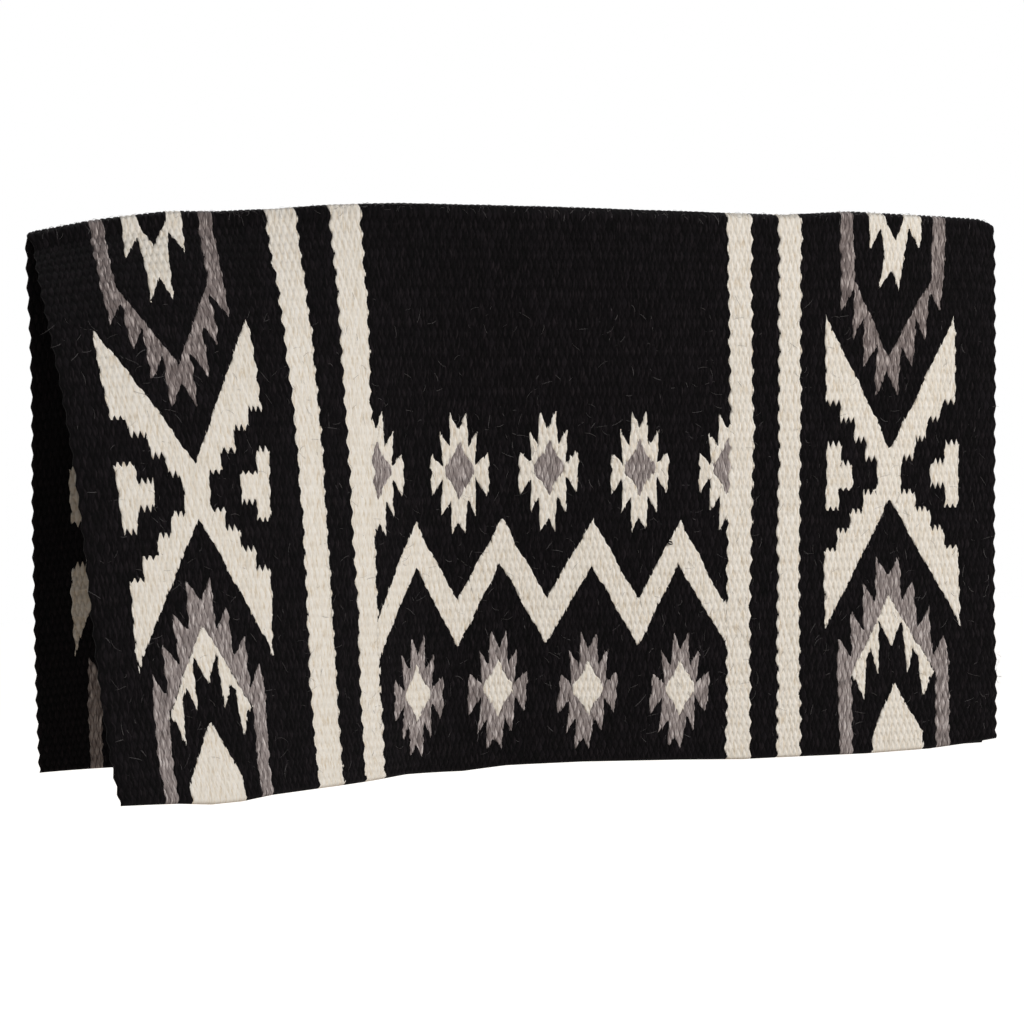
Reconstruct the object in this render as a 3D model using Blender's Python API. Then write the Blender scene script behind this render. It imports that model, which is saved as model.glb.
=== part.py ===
# Folded wool saddle blanket, hanging over a rail.
# Every yarn area of the tapestry weave is its own solid: it is drawn flat on the cloth in wefts (across)
# and ribs (down from the fold), given the cloth's thickness, creased along the lines where the cloth
# bends, and then hung. Metres, +Z up. The fold runs along X, the front half hangs at -Y.
# The origin is the middle of the fold's underside, which is where the blanket rests.
from math import pi

import bmesh
import bpy
import numpy as np
from mathutils import Matrix, Vector

# The cloth as it lies flat. A pick is the width of one weft, a rib the weft-covered step of one warp.
WIDTH = 0.8636
LENGTH = 0.9652
THICKNESS = 0.0065
PICK = 0.0030
RIB_SHARE = 1 / 60
CLEARANCE = 0.0003

# How it hangs: the fold, the sag of its unsupported left end, and the lean of both halves in degrees
FOLD_INSIDE_RADIUS = 0.00275
SAG = 0.0310
SAG_REACH = 0.320
TWIST_REACH = 0.3074
TWIST_SOFTNESS = 0.022
TWIST_POWER = 0.7
RISE_LENGTH = 0.0142
FRONT_TWIST = {"fold": 59.1, "middle": -9.8, "hem": 18.2}
REAR_LEAN = 1.95
REAR_TWIST = 14.6

# Cream stripes, from the left edge, as shares of the width
STRIPE_SHARES = {
    "left_outer": (0.2245, 0.2532),
    "left_inner": (0.2838, 0.3138),
    "right_inner": (0.6980, 0.7240),
    "right_outer": (0.7536, 0.7776),
}

# The two figured columns: how far right of its middle each one's figures are, as a share of the column's width,
# and how many ribs nearer the fold they were woven
OFF_CENTRE_SHARES = {"left": 0.004, "right": -0.045}
EARLY_RIBS = {"left": 0.0, "right": 1.2}

# Centre field: where the zigzag turns and the diamonds stand, as shares of the field's width
PEAK_SHARES = (0.132, 0.378, 0.623, 0.876)
VALLEY_SHARES = (0.259, 0.503, 0.760)
ZIGZAG_TOP_RIB = 33.4
ZIGZAG_BOTTOM_RIB = 47.0
ZIGZAG_BAND_RIBS = 5.0
UPPER_DIAMOND_RIB = 28.1
LOWER_DIAMOND_RIB = 52.0
HALF_DIAMOND_PICKS = 8.7

# Right halves of the figures, in picks from the figure's middle and ribs from the fold
CROSS = (
    (0, 27.7), (21.3, 13.2), (22, 21.8), (18.4, 21.8), (18.4, 24), (13, 24), (13, 26.2), (8.6, 26.2),
    (8.6, 28.5), (4.3, 28.5), (4.3, 32.3), (8.2, 32.3), (8.2, 34.4), (12.2, 34.4), (12.2, 36.4), (16.2, 36.4),
    (16.2, 38.4), (21.4, 38.4), (20.6, 46.9), (0, 33.3),
)
STAR = ((0, 4.2), (4.2, 2.4), (8.2, 2.4), (8.2, 5.4), (4.2, 4.8), (3.6, 10.8), (0, 8.3))
FEATHERED_V = (
    (0, 17.4), (12.2, 6.6), (12.2, 2.4), (15.8, 2.4), (17, 12.4), (13, 9.9), (12.7, 15.4), (9, 13.1),
    (8.2, 18.6), (4.6, 16.6), (3.4, 21.8), (0, 19.5),
)
COMB = ((22.4, 26.8), (18.3, 26.8), (18.3, 29), (13.4, 29), (13.4, 31.8), (18.3, 31.8), (18.3, 33.9), (22.4, 33.9))
FEATHERED_CHEVRON = (
    (0, 41.2), (3.6, 39.4), (4.7, 43.6), (7.9, 42.3), (8.5, 46.2), (12.4, 45.4), (13, 49.2), (16.4, 48.4),
    (16.6, 58.8), (12.8, 58.8), (12.8, 52.2), (0, 43.9),
)
TOOTHED_CHEVRON = ((0, 43.9), (12.8, 52.2), (9.2, 54.9), (6.4, 49.6), (4.2, 52), (3, 47.4), (0, 49.4))
HEM_TRIANGLE = ((0, 53.2), (8.6, 58.8))

# One quarter of a serrate diamond, in picks and ribs from its middle
DIAMOND = ((0, 5.2), (1.7, 6.1), (3.3, 3.4), (6.2, 4.1), (5.7, 1.7), (8.7, 1.7), (7.7, 0))

# Lines where the cloth is creased so that it can bend
ACROSS_CREASE_SHARES = (0.16, 0.32, 0.48, 0.62, 0.74, 0.86, 1.0)
FRONT_CREASE_SHARES = (0.10, 0.17, 0.26, 0.40, 0.60, 0.80)
REAR_CREASE_SHARES = (0.18, 0.35, 0.52, 0.69, 0.85)
RIDGE_CREASE_SHARES = (-0.67, -0.33, 0.0, 0.33, 0.67)
SAMPLES_ACROSS = 241
SAMPLES_DOWN = 161
SAMPLES_ROUND = 13

HALF = LENGTH / 2
RIB = HALF * RIB_SHARE
FOLD_RADIUS = FOLD_INSIDE_RADIUS + THICKNESS / 2
QUARTER = FOLD_RADIUS * pi / 2
RISE_END = QUARTER + RISE_LENGTH
JOINT_Y = FOLD_INSIDE_RADIUS + THICKNESS
TWIST_END = TWIST_REACH + 5 * TWIST_SOFTNESS
STRIPES = {name: (left * WIDTH, right * WIDTH) for name, (left, right) in STRIPE_SHARES.items()}
BLACK_BANDS = {
    "left": (STRIPES["left_outer"][1], STRIPES["left_inner"][0]),
    "right": (STRIPES["right_inner"][1], STRIPES["right_outer"][0]),
}
FIELD_LEFT = STRIPES["left_inner"][1]
FIELD_RIGHT = STRIPES["right_inner"][0]

YARNS = {
    "black": (0.012, 0.012, 0.014),
    "cream": (0.80, 0.76, 0.68),
    "grey": (0.30, 0.27, 0.27),
}


def clear_scene():
    for old in list(bpy.data.objects):
        bpy.data.objects.remove(old, do_unlink=True)


def wool(name, yarn):
    """The dyed wool of one piece."""
    material = bpy.data.materials.new(f"{name}_{yarn}_wool")
    material.use_nodes = True
    shader = material.node_tree.nodes["Principled BSDF"]
    shader.inputs["Base Color"].default_value = (*YARNS[yarn], 1)
    shader.inputs["Roughness"].default_value = 0.95
    shader.inputs["Metallic"].default_value = 0.0
    return material


def twist_weight(across):
    """1 at the left edge, falling smoothly to 0 where the cloth hangs straight."""
    def soft(x):
        return np.logaddexp(0, (TWIST_REACH - x) / TWIST_SOFTNESS) * TWIST_SOFTNESS

    floor = soft(TWIST_END)
    return np.clip((soft(across) - floor) / (soft(0) - floor), 0, 1) ** TWIST_POWER


def lean(side, across, down):
    """The cloth's angle from plumb, in degrees, at a place across and down one half."""
    tau = np.clip((down - QUARTER) / (HALF - QUARTER), 0, 1)
    rise = np.clip((down - QUARTER) / RISE_LENGTH, 0, 1)
    if side == "front":
        twist = (FRONT_TWIST["fold"] * (1 - tau) ** 2 + 2 * FRONT_TWIST["middle"] * tau * (1 - tau)
                 + FRONT_TWIST["hem"] * tau ** 2)
        angle = twist * twist_weight(across)
    else:
        angle = REAR_LEAN + REAR_TWIST * twist_weight(across)
    return angle * rise ** 2 * (3 - 2 * rise)


def running_sum(values, steps):
    """The integral of values along the second axis, starting from zero."""
    middles = (values[:, 1:] + values[:, :-1]) / 2 * steps
    return np.concatenate([np.zeros((len(values), 1)), np.cumsum(middles, axis=1)], axis=1)


class HungHalf:
    """One half of the cloth's middle surface: (across, down from the fold) to (x, outward, z)."""

    def __init__(self, side):
        self.across = np.linspace(0, WIDTH, SAMPLES_ACROSS)
        round_fold = np.linspace(0, QUARTER, SAMPLES_ROUND)
        self.down = np.concatenate([round_fold, np.linspace(QUARTER, HALF, SAMPLES_DOWN)[1:]])
        across, down = np.meshgrid(self.across, self.down, indexing="ij")
        steps = np.diff(self.down)
        angle = np.radians(lean(side, across, down))
        turn = np.minimum(down, QUARTER) / FOLD_RADIUS
        hanging = down >= QUARTER
        outward = FOLD_RADIUS * np.sin(turn) + running_sum(np.where(hanging, np.sin(angle), 0), steps)
        drop = FOLD_RADIUS * (1 - np.cos(turn)) + running_sum(np.where(hanging, np.cos(angle), 0), steps)
        drop += SAG * np.clip(1 - across / SAG_REACH, 0, 1) ** 2
        pitch = self.across[1] - self.across[0]
        slope = (np.diff(outward, axis=0) / pitch) ** 2 + (np.diff(drop, axis=0) / pitch) ** 2
        runs = np.sqrt(np.clip(1 - slope, 0, 1)) * pitch
        along = np.concatenate([np.zeros((1, down.shape[1])), np.cumsum(runs, axis=0)])
        middle = SAMPLES_ACROSS // 2
        along -= along[middle]
        self.points = np.stack([along, outward, THICKNESS / 2 - drop], axis=-1)
        across_way = np.gradient(self.points, self.across, axis=0)
        down_way = np.gradient(self.points, self.down, axis=1)
        normals = np.cross(across_way, down_way)
        self.normals = normals / np.linalg.norm(normals, axis=-1, keepdims=True)

    def at(self, across, down, height):
        """A point of the cloth, height above its middle surface."""
        i = min(max(int(np.searchsorted(self.across, across)) - 1, 0), len(self.across) - 2)
        j = min(max(int(np.searchsorted(self.down, down)) - 1, 0), len(self.down) - 2)
        p = (across - self.across[i]) / (self.across[i + 1] - self.across[i])
        q = (down - self.down[j]) / (self.down[j + 1] - self.down[j])
        total = np.zeros(3)
        for di, wi in ((0, 1 - p), (1, p)):
            for dj, wj in ((0, 1 - q), (1, q)):
                total += wi * wj * (self.points[i + di, j + dj] + height * self.normals[i + di, j + dj])
        return total


def hang(halves, flat):
    """A point drawn on the flat cloth (across, down, height) in its hung place. Down is negative behind."""
    side = "front" if flat.y >= 0 else "rear"
    x, outward, z = halves[side].at(flat.x, abs(flat.y), flat.z)
    return Vector((x, -outward if side == "front" else outward, z))


def inset(points, distance):
    """The outline moved inwards by a distance, and outwards if the distance is negative."""
    count = len(points)
    area = sum(points[i][0] * points[(i + 1) % count][1] - points[(i + 1) % count][0] * points[i][1]
               for i in range(count))
    turn = 1 if area > 0 else -1
    moved = []
    for i in range(count):
        here = Vector(points[i])
        before = (here - Vector(points[i - 1])).normalized()
        after = (Vector(points[(i + 1) % count]) - here).normalized()
        n1 = Vector((-before.y, before.x)) * turn
        n2 = Vector((-after.y, after.x)) * turn
        moved.append(here + (n1 + n2) * (distance / (1 + n1.dot(n2))))
    return moved


def flat_solid(outline, holes):
    """The cloth's full thickness inside an outline, as a mesh lying flat."""
    curve = bpy.data.curves.new("outline", "CURVE")
    curve.dimensions = "2D"
    curve.fill_mode = "BOTH"
    curve.extrude = THICKNESS / 2
    for loop in [inset(outline, CLEARANCE / 2)] + [inset(hole, -CLEARANCE / 2) for hole in holes]:
        spline = curve.splines.new("POLY")
        spline.points.add(len(loop) - 1)
        for point, place in zip(spline.points, loop):
            point.co = (place[0], place[1], 0, 1)
        spline.use_cyclic_u = True
    guide = bpy.data.objects.new("outline", curve)
    bpy.context.scene.collection.objects.link(guide)
    shape = guide.evaluated_get(bpy.context.evaluated_depsgraph_get())
    mesh = bpy.data.meshes.new_from_object(shape)
    bpy.data.objects.remove(guide)
    bpy.data.curves.remove(curve)
    return mesh


def crease(bm, axis, place, limit):
    """Cut the flat solid along a line of one constant coordinate, on the left of a limit."""
    normal = Vector((1, 0, 0)) if axis == 0 else Vector((0, 1, 0))
    faces = [face for face in bm.faces if face.calc_center_bounds().x < limit]
    edges = {edge for face in faces for edge in face.edges}
    verts = {vert for face in faces for vert in face.verts}
    cut = list(verts) + list(edges) + faces
    bmesh.ops.bisect_plane(bm, geom=cut, dist=CLEARANCE / 100, plane_co=normal * place, plane_no=normal)


def tidy_flat_faces(bm, across_lines, down_lines):
    """Join the small triangles of the flat faces between two creases into one face."""
    near = CLEARANCE / 10
    for edge in bm.edges:
        a, b = (v.co for v in edge.verts)
        on_crease = any(abs(a.x - c) < near and abs(b.x - c) < near for c in across_lines)
        on_crease = on_crease or any(abs(a.y - c) < near and abs(b.y - c) < near for c in down_lines)
        edge.seam = on_crease
    bmesh.ops.dissolve_limit(bm, angle_limit=0.001, verts=bm.verts[:], edges=bm.edges[:], delimit={"SEAM"})


def split_edge_faces(bm):
    """Split the faces through the cloth's thickness alike on both sides of a seam, so that they stay parallel."""
    for face in bm.faces[:]:
        if abs(face.normal.z) > 0.5 or len(face.verts) != 4:
            continue
        order = sorted(face.verts, key=lambda vert: vert.co.x + vert.co.y / 3)
        upper = [vert for vert in order if vert.co.z > 0]
        lower = [vert for vert in order if vert.co.z < 0]
        if len(upper) == 2:
            bmesh.utils.face_split(face, upper[0], lower[1])


def yarn_area(name, body, yarn, outline, holes=()):
    """One yarn's area of the cloth, as a solid of its own on the body that carries it."""
    mesh = flat_solid(outline, holes)
    bm = bmesh.new()
    bm.from_mesh(mesh)
    bpy.data.meshes.remove(mesh)
    bmesh.ops.remove_doubles(bm, verts=bm.verts[:], dist=CLEARANCE / 100)
    across_lines = [share * TWIST_END for share in ACROSS_CREASE_SHARES]
    if body.name == "ridge":
        down_lines = [share * QUARTER for share in RIDGE_CREASE_SHARES]
        reach = WIDTH
    elif body.name == "front_flap":
        down_lines = [RISE_END - RISE_LENGTH / 2, RISE_END] + [share * HALF for share in FRONT_CREASE_SHARES]
        reach = TWIST_END
    else:
        crease(bm, 1, -RISE_END, WIDTH)
        down_lines = [-RISE_END] + [-share * HALF for share in REAR_CREASE_SHARES]
        reach = TWIST_END
    for line in across_lines:
        crease(bm, 0, line, WIDTH)
    for line in down_lines:
        crease(bm, 1, line, reach)
    tidy_flat_faces(bm, across_lines, down_lines)
    split_edge_faces(bm)
    bmesh.ops.triangulate(bm, faces=bm.faces[:])
    for vert in bm.verts:
        vert.co = hang(HALVES, vert.co) - body.location
    bmesh.ops.recalc_face_normals(bm, faces=bm.faces[:])
    if bm.calc_volume(signed=True) < 0:
        bmesh.ops.reverse_faces(bm, faces=bm.faces[:])
    solid = bpy.data.meshes.new(name)
    bm.to_mesh(solid)
    bm.free()
    solid.materials.append(wool(name, yarn))
    piece = bpy.data.objects.new(name, solid)
    piece.parent = body
    CLOTH.objects.link(piece)
    return piece


def rectangle(left, right, top, bottom):
    return [(left, top), (right, top), (right, bottom), (left, bottom)]


def whole_figure(half, middle, lift, way):
    """Mirror a figure's right half about its middle and place it on one half of the cloth."""
    right = [(middle + across * PICK, way * (rib - lift) * RIB) for across, rib in half]
    left = [(2 * middle - x, y) for x, y in reversed(right) if abs(x - middle) > PICK / 100]
    return right + left


def one_side_figure(half, middle, lift, way, side):
    return [(middle + side * across * PICK, way * (rib - lift) * RIB) for across, rib in half]


def serrate_diamond(middle, rib, way):
    """A whole diamond from its quarter, going once round."""
    loop = []
    for sx, sy, step in ((1, -1, 1), (1, 1, -1), (-1, 1, 1), (-1, -1, -1)):
        quarter = DIAMOND[::step]
        loop += [(middle + sx * a * PICK, way * (rib + sy * d) * RIB) for a, d in quarter]
    return without_repeats(loop)


def without_repeats(loop):
    kept = []
    for point in loop:
        if not kept or max(abs(point[0] - kept[-1][0]), abs(point[1] - kept[-1][1])) > PICK / 100:
            kept.append(point)
    if max(abs(kept[0][0] - kept[-1][0]), abs(kept[0][1] - kept[-1][1])) < PICK / 100:
        kept.pop()
    return kept


def stripe_with_half_diamond(band, inner, way):
    """A cream stripe whose inner edge swells into half a serrate diamond."""
    left, right = band
    edge = right if inner == 1 else left
    outer = left if inner == 1 else right
    top, bottom = way * QUARTER, way * HALF
    half_diamond = ((0, DIAMOND[1][1]),) + DIAMOND[1:]
    bump = []
    for sy, step in ((-1, 1), (1, -1)):
        bump += [(edge + inner * a * PICK, way * (UPPER_DIAMOND_RIB + sy * d) * RIB)
                 for a, d in half_diamond[::step]]
    return without_repeats([(outer, top), (edge, top)] + bump + [(edge, bottom), (outer, bottom)])


def zigzag_line(top_rib, bottom_rib, ends_rib, way):
    """The zigzag's upper or lower edge, from the left inner stripe to the right one."""
    span = FIELD_RIGHT - FIELD_LEFT
    turns = sorted([(s, top_rib) for s in PEAK_SHARES] + [(s, bottom_rib) for s in VALLEY_SHARES])
    line = [(0.0, ends_rib)] + turns + [(1.0, ends_rib)]
    return [(FIELD_LEFT + share * span, way * rib * RIB) for share, rib in line]


def weave_column(body, prefix, side, way, full):
    """The figures of one outer column and the black ground round them."""
    left, right = (0, STRIPES["left_outer"][0]) if side == "left" else (STRIPES["right_outer"][1], WIDTH)
    middle = (left + right) / 2 + OFF_CENTRE_SHARES[side] * (right - left)
    lift = EARLY_RIBS[side]
    name = f"{prefix}_{side}_"
    figures = [
        ("forked_star", "cream", whole_figure(STAR, middle, 0, way)),
        ("feathered_v", "grey", whole_figure(FEATHERED_V, middle, lift * 0.5, way)),
        ("stepped_cross", "cream", whole_figure(CROSS, middle, lift, way)),
    ]
    if full:
        figures += [
            ("outer_comb", "cream", one_side_figure(COMB, middle, lift, way, -1 if side == "left" else 1)),
            ("inner_comb", "cream", one_side_figure(COMB, middle, lift, way, 1 if side == "left" else -1)),
            ("feathered_chevron", "grey", whole_figure(FEATHERED_CHEVRON, middle, 0, way)),
            ("toothed_chevron", "cream", whole_figure(TOOTHED_CHEVRON, middle, 0, way)),
            ("hem_triangle", "cream", whole_figure(HEM_TRIANGLE, middle, 0, way)),
        ]
    for figure, yarn, outline in figures:
        yarn_area(name + figure, body, yarn, outline)
    cut_outs = [outline for figure, _, outline in figures if "chevron" not in figure]
    if full:
        lower = FEATHERED_CHEVRON[:-1] + TOOTHED_CHEVRON[2:]
        cut_outs.append(whole_figure(lower, middle, 0, way))
    yarn_area(name + "ground", body, "black", rectangle(left, right, way * QUARTER, way * HALF), cut_outs)


def weave_centre(body, prefix, way, full):
    """The zigzag, the diamonds and the black ground above and below."""
    low = ZIGZAG_BOTTOM_RIB - ZIGZAG_BAND_RIBS
    upper = zigzag_line(ZIGZAG_TOP_RIB, low, low, way)
    lower = zigzag_line(ZIGZAG_TOP_RIB + ZIGZAG_BAND_RIBS, ZIGZAG_BOTTOM_RIB, ZIGZAG_BOTTOM_RIB, way)
    yarn_area(prefix + "_zigzag", body, "cream", upper + lower[::-1])
    span = FIELD_RIGHT - FIELD_LEFT
    above, below = [], []
    if full:
        for number, share in enumerate(VALLEY_SHARES, 1):
            above.append(serrate_diamond(FIELD_LEFT + share * span, UPPER_DIAMOND_RIB, way))
            yarn_area(f"{prefix}_upper_diamond_{number}", body, "cream", above[-1])
        for number, share in enumerate(PEAK_SHARES, 1):
            below.append(serrate_diamond(FIELD_LEFT + share * span, LOWER_DIAMOND_RIB, way))
            yarn_area(f"{prefix}_lower_diamond_{number}", body, "grey", below[-1])
    bumps = [stripe_with_half_diamond(STRIPES["left_inner"], 1, way)[2:-2][::-1],
             stripe_with_half_diamond(STRIPES["right_inner"], -1, way)[2:-2]] if full else [[], []]
    top = [(FIELD_LEFT, way * QUARTER), (FIELD_RIGHT, way * QUARTER)]
    ground = top + bumps[1] + upper[::-1] + bumps[0]
    yarn_area(prefix + "_centre_ground_upper", body, "black", ground, above)
    bottom = [(FIELD_RIGHT, way * HALF), (FIELD_LEFT, way * HALF)]
    yarn_area(prefix + "_centre_ground_lower", body, "black", lower + bottom, below)


def weave_stripes(body, prefix, way, full):
    """The four cream stripes and the two narrow black ones between them."""
    top, bottom = way * QUARTER, way * HALF
    for name, (left, right) in STRIPES.items():
        outline = rectangle(left, right, top, bottom)
        if full and "inner" in name:
            outline = stripe_with_half_diamond((left, right), 1 if "left" in name else -1, way)
        yarn_area(f"{prefix}_{name}_stripe", body, "cream", outline)
    for side, (first, second) in BLACK_BANDS.items():
        yarn_area(f"{prefix}_{side}_black_stripe", body, "black", rectangle(first, second, top, bottom))


def weave_ridge(body):
    """The fold: the same weft bands going over the rail."""
    bands = [("left_ground", "black", 0, STRIPES["left_outer"][0]),
             ("centre_ground", "black", FIELD_LEFT, FIELD_RIGHT),
             ("right_ground", "black", STRIPES["right_outer"][1], WIDTH)]
    bands += [(name + "_stripe", "cream", *band) for name, band in STRIPES.items()]
    bands += [(side + "_black_stripe", "black", *band) for side, band in BLACK_BANDS.items()]
    for name, yarn, left, right in bands:
        yarn_area("ridge_" + name, body, yarn, rectangle(left, right, -QUARTER, QUARTER))


def body_at(name, place):
    """An empty on the joint's axis, which carries the pieces of one body."""
    empty = bpy.data.objects.new(name, None)
    empty.location = place
    CLOTH.objects.link(empty)
    return empty


clear_scene()
CLOTH = bpy.data.collections.new("saddle_blanket")
bpy.context.scene.collection.children.link(CLOTH)
HALVES = {"front": HungHalf("front"), "rear": HungHalf("rear")}

weave_ridge(body_at("ridge", (0, 0, 0)))
for flap, direction, whole in (("front_flap", 1, True), ("rear_flap", -1, False)):
    hinge = body_at(flap, (0, -direction * JOINT_Y, -FOLD_INSIDE_RADIUS))
    half_name = flap.split("_")[0]
    weave_stripes(hinge, half_name, direction, whole)
    weave_centre(hinge, half_name, direction, whole)
    for column in OFF_CENTRE_SHARES:
        weave_column(hinge, half_name, column, direction, whole)
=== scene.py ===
# %% [markdown]
# A saddle blanket, woven yarn by yarn.
#
# This lesson dresses a plain model of a folded wool saddle blanket. The plain model already holds the right
# sizes and the way the blanket hangs. Here the cloth is woven again at full detail: thousands of wool floats
# in black, cream and grey, which together draw the stripes, crosses and zigzag of the real blanket.

# %% Load the plain model
from math import cos, pi, radians, sin

import bpy
import numpy as np
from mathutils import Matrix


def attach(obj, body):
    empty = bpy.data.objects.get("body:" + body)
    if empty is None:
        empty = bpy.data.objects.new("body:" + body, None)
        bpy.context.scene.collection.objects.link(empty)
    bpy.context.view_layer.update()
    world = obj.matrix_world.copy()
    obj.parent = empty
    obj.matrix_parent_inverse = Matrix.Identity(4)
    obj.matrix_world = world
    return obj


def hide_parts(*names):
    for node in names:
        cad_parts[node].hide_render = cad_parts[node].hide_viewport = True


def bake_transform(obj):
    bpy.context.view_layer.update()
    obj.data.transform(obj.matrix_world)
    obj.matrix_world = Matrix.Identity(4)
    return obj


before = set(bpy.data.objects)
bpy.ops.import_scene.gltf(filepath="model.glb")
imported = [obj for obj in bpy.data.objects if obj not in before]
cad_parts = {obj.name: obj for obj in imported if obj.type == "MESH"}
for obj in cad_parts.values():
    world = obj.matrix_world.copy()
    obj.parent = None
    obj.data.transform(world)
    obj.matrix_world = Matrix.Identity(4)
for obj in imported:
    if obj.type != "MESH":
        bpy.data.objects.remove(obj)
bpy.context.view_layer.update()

# %% [markdown]
# The camera comes first, because every later choice is judged through it. The photograph looks slightly
# down at the blanket from its left, through a long lens. A long lens keeps the ribs almost parallel, so the
# camera stands over two metres away and looks at a point a little above the middle of the front half.

# %% The camera
CAMERA_YAW = radians(16.72)
CAMERA_TILT = radians(2.79)
CAMERA_DISTANCE = 2.190
LENS_MM = 89.3
SENSOR_MM = 36.0
LOOK_AT = np.array([-0.0242, 0.0, -0.2572])
forward = np.array([sin(CAMERA_YAW) * cos(CAMERA_TILT),
                    cos(CAMERA_YAW) * cos(CAMERA_TILT),
                    -sin(CAMERA_TILT)])
camera_data = bpy.data.cameras.new("camera")
camera_data.sensor_width = SENSOR_MM
camera_data.lens = LENS_MM
camera = bpy.data.objects.new("camera", camera_data)
camera.location = LOOK_AT - forward * CAMERA_DISTANCE
camera.rotation_euler = (pi / 2 - CAMERA_TILT, 0.0, -CAMERA_YAW)
bpy.context.scene.collection.objects.link(camera)
bpy.context.scene.camera = camera
bpy.context.scene.view_settings.view_transform = "Standard"
print("camera at", [round(c, 3) for c in camera.location])

# %% [markdown]
# A product photograph on white needs two things: soft light from everywhere, and a background that stays
# white without pouring more light on the subject. The world gives the soft light. What the camera itself
# sees of the world is set apart with the Light Path node, so that the world can be white behind the blanket
# and still give only a little light.

# %% White surroundings that don't light the cloth
AMBIENT = 0.24


def white_for_camera(nodes, links):
    """1 for what the camera sees directly, by reflection or through glass, and 0 for light on the object."""
    path = nodes.new("ShaderNodeLightPath")
    seen = path.outputs["Is Camera Ray"]
    for also in ("Is Glossy Ray", "Is Transmission Ray"):
        either = nodes.new("ShaderNodeMath")
        either.operation = "MAXIMUM"
        links.new(seen, either.inputs[0])
        links.new(path.outputs[also], either.inputs[1])
        seen = either.outputs[0]
    return seen


world = bpy.data.worlds.new("studio")
world.use_nodes = True
bpy.context.scene.world = world
sky = world.node_tree
background = sky.nodes["Background"]
background.inputs["Color"].default_value = (1, 1, 1, 1)
strength = sky.nodes.new("ShaderNodeMapRange")
strength.inputs["To Min"].default_value = AMBIENT
strength.inputs["To Max"].default_value = 1.0
sky.links.new(white_for_camera(sky.nodes, sky.links), strength.inputs["Value"])
sky.links.new(strength.outputs["Result"], background.inputs["Strength"])
print("ambient", AMBIENT)

# %% [markdown]
# The floor is a wide sheet of pale tan paper, well below the hems. Paper in a darker tone than white sends
# little light back up, and that light is warm, so the gap between the two halves stays as dim and brown as
# in the photograph. The paper is lifted towards white for the camera alone, by a glow that the Light Path
# node switches on. The last part of its white is light that falls on it, so it keeps the blanket's shadow.

# %% The pale floor
FLOOR_Z = -0.90
FLOOR_SIZE = 12.0
FLOOR_COLOUR = (0.38, 0.325, 0.27)
FLOOR_ROUGHNESS = 0.9
FLOOR_GLOW = 0.87
bpy.ops.mesh.primitive_plane_add(size=FLOOR_SIZE, location=(0, 0, FLOOR_Z))
floor = bpy.context.object
floor.name = "studio_floor"
paper = bpy.data.materials.new("studio_paper")
paper.use_nodes = True
shader = paper.node_tree.nodes["Principled BSDF"]
shader.inputs["Base Color"].default_value = (*FLOOR_COLOUR, 1)
shader.inputs["Roughness"].default_value = FLOOR_ROUGHNESS
shader.inputs["Emission Color"].default_value = (1, 1, 1, 1)
paper_nodes, paper_links = paper.node_tree.nodes, paper.node_tree.links
glow = paper_nodes.new("ShaderNodeMath")
glow.operation = "MULTIPLY"
glow.inputs[1].default_value = FLOOR_GLOW
paper_links.new(white_for_camera(paper_nodes, paper_links), glow.inputs[0])
paper_links.new(glow.outputs[0], shader.inputs["Emission Strength"])
floor.data.materials.append(paper)
print("floor at", FLOOR_Z)

# %% [markdown]
# Three big area lights stand in for softboxes. Two are in front, at the middle and on the right, where the
# front half keeps their light out of the gap at the left end, as in the photograph. One behind lights the
# rear half. They stand higher than the cloth, which shows the ribs, and are large, so no shadow has an edge.

# %% Softboxes
SOFTBOX_AIM = (0, 0, -0.25)
SOFTBOXES = {
    "softbox_front": {"stand": (0.5, -3.1, 1.0), "size": 1.6, "watts": 31.5},
    "softbox_right": {"stand": (1.9, -2.4, 0.5), "size": 1.8, "watts": 55},
    "softbox_back": {"stand": (0.3, 2.8, 1.2), "size": 1.8, "watts": 32},
}


def softbox(name, stand, size, watts):
    """A square area light that looks at the middle of the blanket."""
    lamp = bpy.data.lights.new(name, "AREA")
    lamp.shape = "SQUARE"
    lamp.size = size
    lamp.energy = watts
    box = bpy.data.objects.new(name, lamp)
    box.location = stand
    way = np.array(SOFTBOX_AIM) - np.array(stand)
    way = way / np.linalg.norm(way)
    box.rotation_euler = (np.arccos(-way[2]), 0.0, np.arctan2(-way[0], way[1]))
    bpy.context.scene.collection.objects.link(box)


for name, setting in SOFTBOXES.items():
    softbox(name, **setting)
print("softboxes", len(SOFTBOXES))

# %% [markdown]
# How the cloth hangs. A blanket thrown over a rail is nearly plumb where the rail carries it, but here the
# left end stands free: it sags a little, the front half swings out and the rear half swings back. A cloth
# simulation could find such a shape, but it would not find this one. So the shape is written as the lean
# of the cloth at each place, in degrees from plumb, and added up from the fold to the hem. Wool hardly
# stretches, so the width is kept by adding up the cloth's own length across as well.

# %% Sizes of the cloth and how far it leans
WIDTH = 0.8636
HALF = 0.4826
THICKNESS = 0.0065
FOLD_RADIUS = 0.0060
QUARTER = FOLD_RADIUS * pi / 2
SAG, SAG_REACH = 0.0310, 0.320
TWIST_REACH, TWIST_SOFTNESS, TWIST_POWER = 0.3074, 0.022, 0.7
TWIST_END = TWIST_REACH + 5 * TWIST_SOFTNESS
RISE = 0.0142
FRONT_TWIST = (59.1, -9.8, 18.2)
REAR_LEAN, REAR_TWIST = 1.95, 14.6
OVERRUN = 0.016


def twist_weight(across):
    """1 at the left edge, falling smoothly to 0 where the cloth hangs straight."""
    def soft(x):
        return np.logaddexp(0, (TWIST_REACH - x) / TWIST_SOFTNESS) * TWIST_SOFTNESS

    least = soft(TWIST_END)
    return np.clip((soft(across) - least) / (soft(0) - least), 0, 1) ** TWIST_POWER


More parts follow.
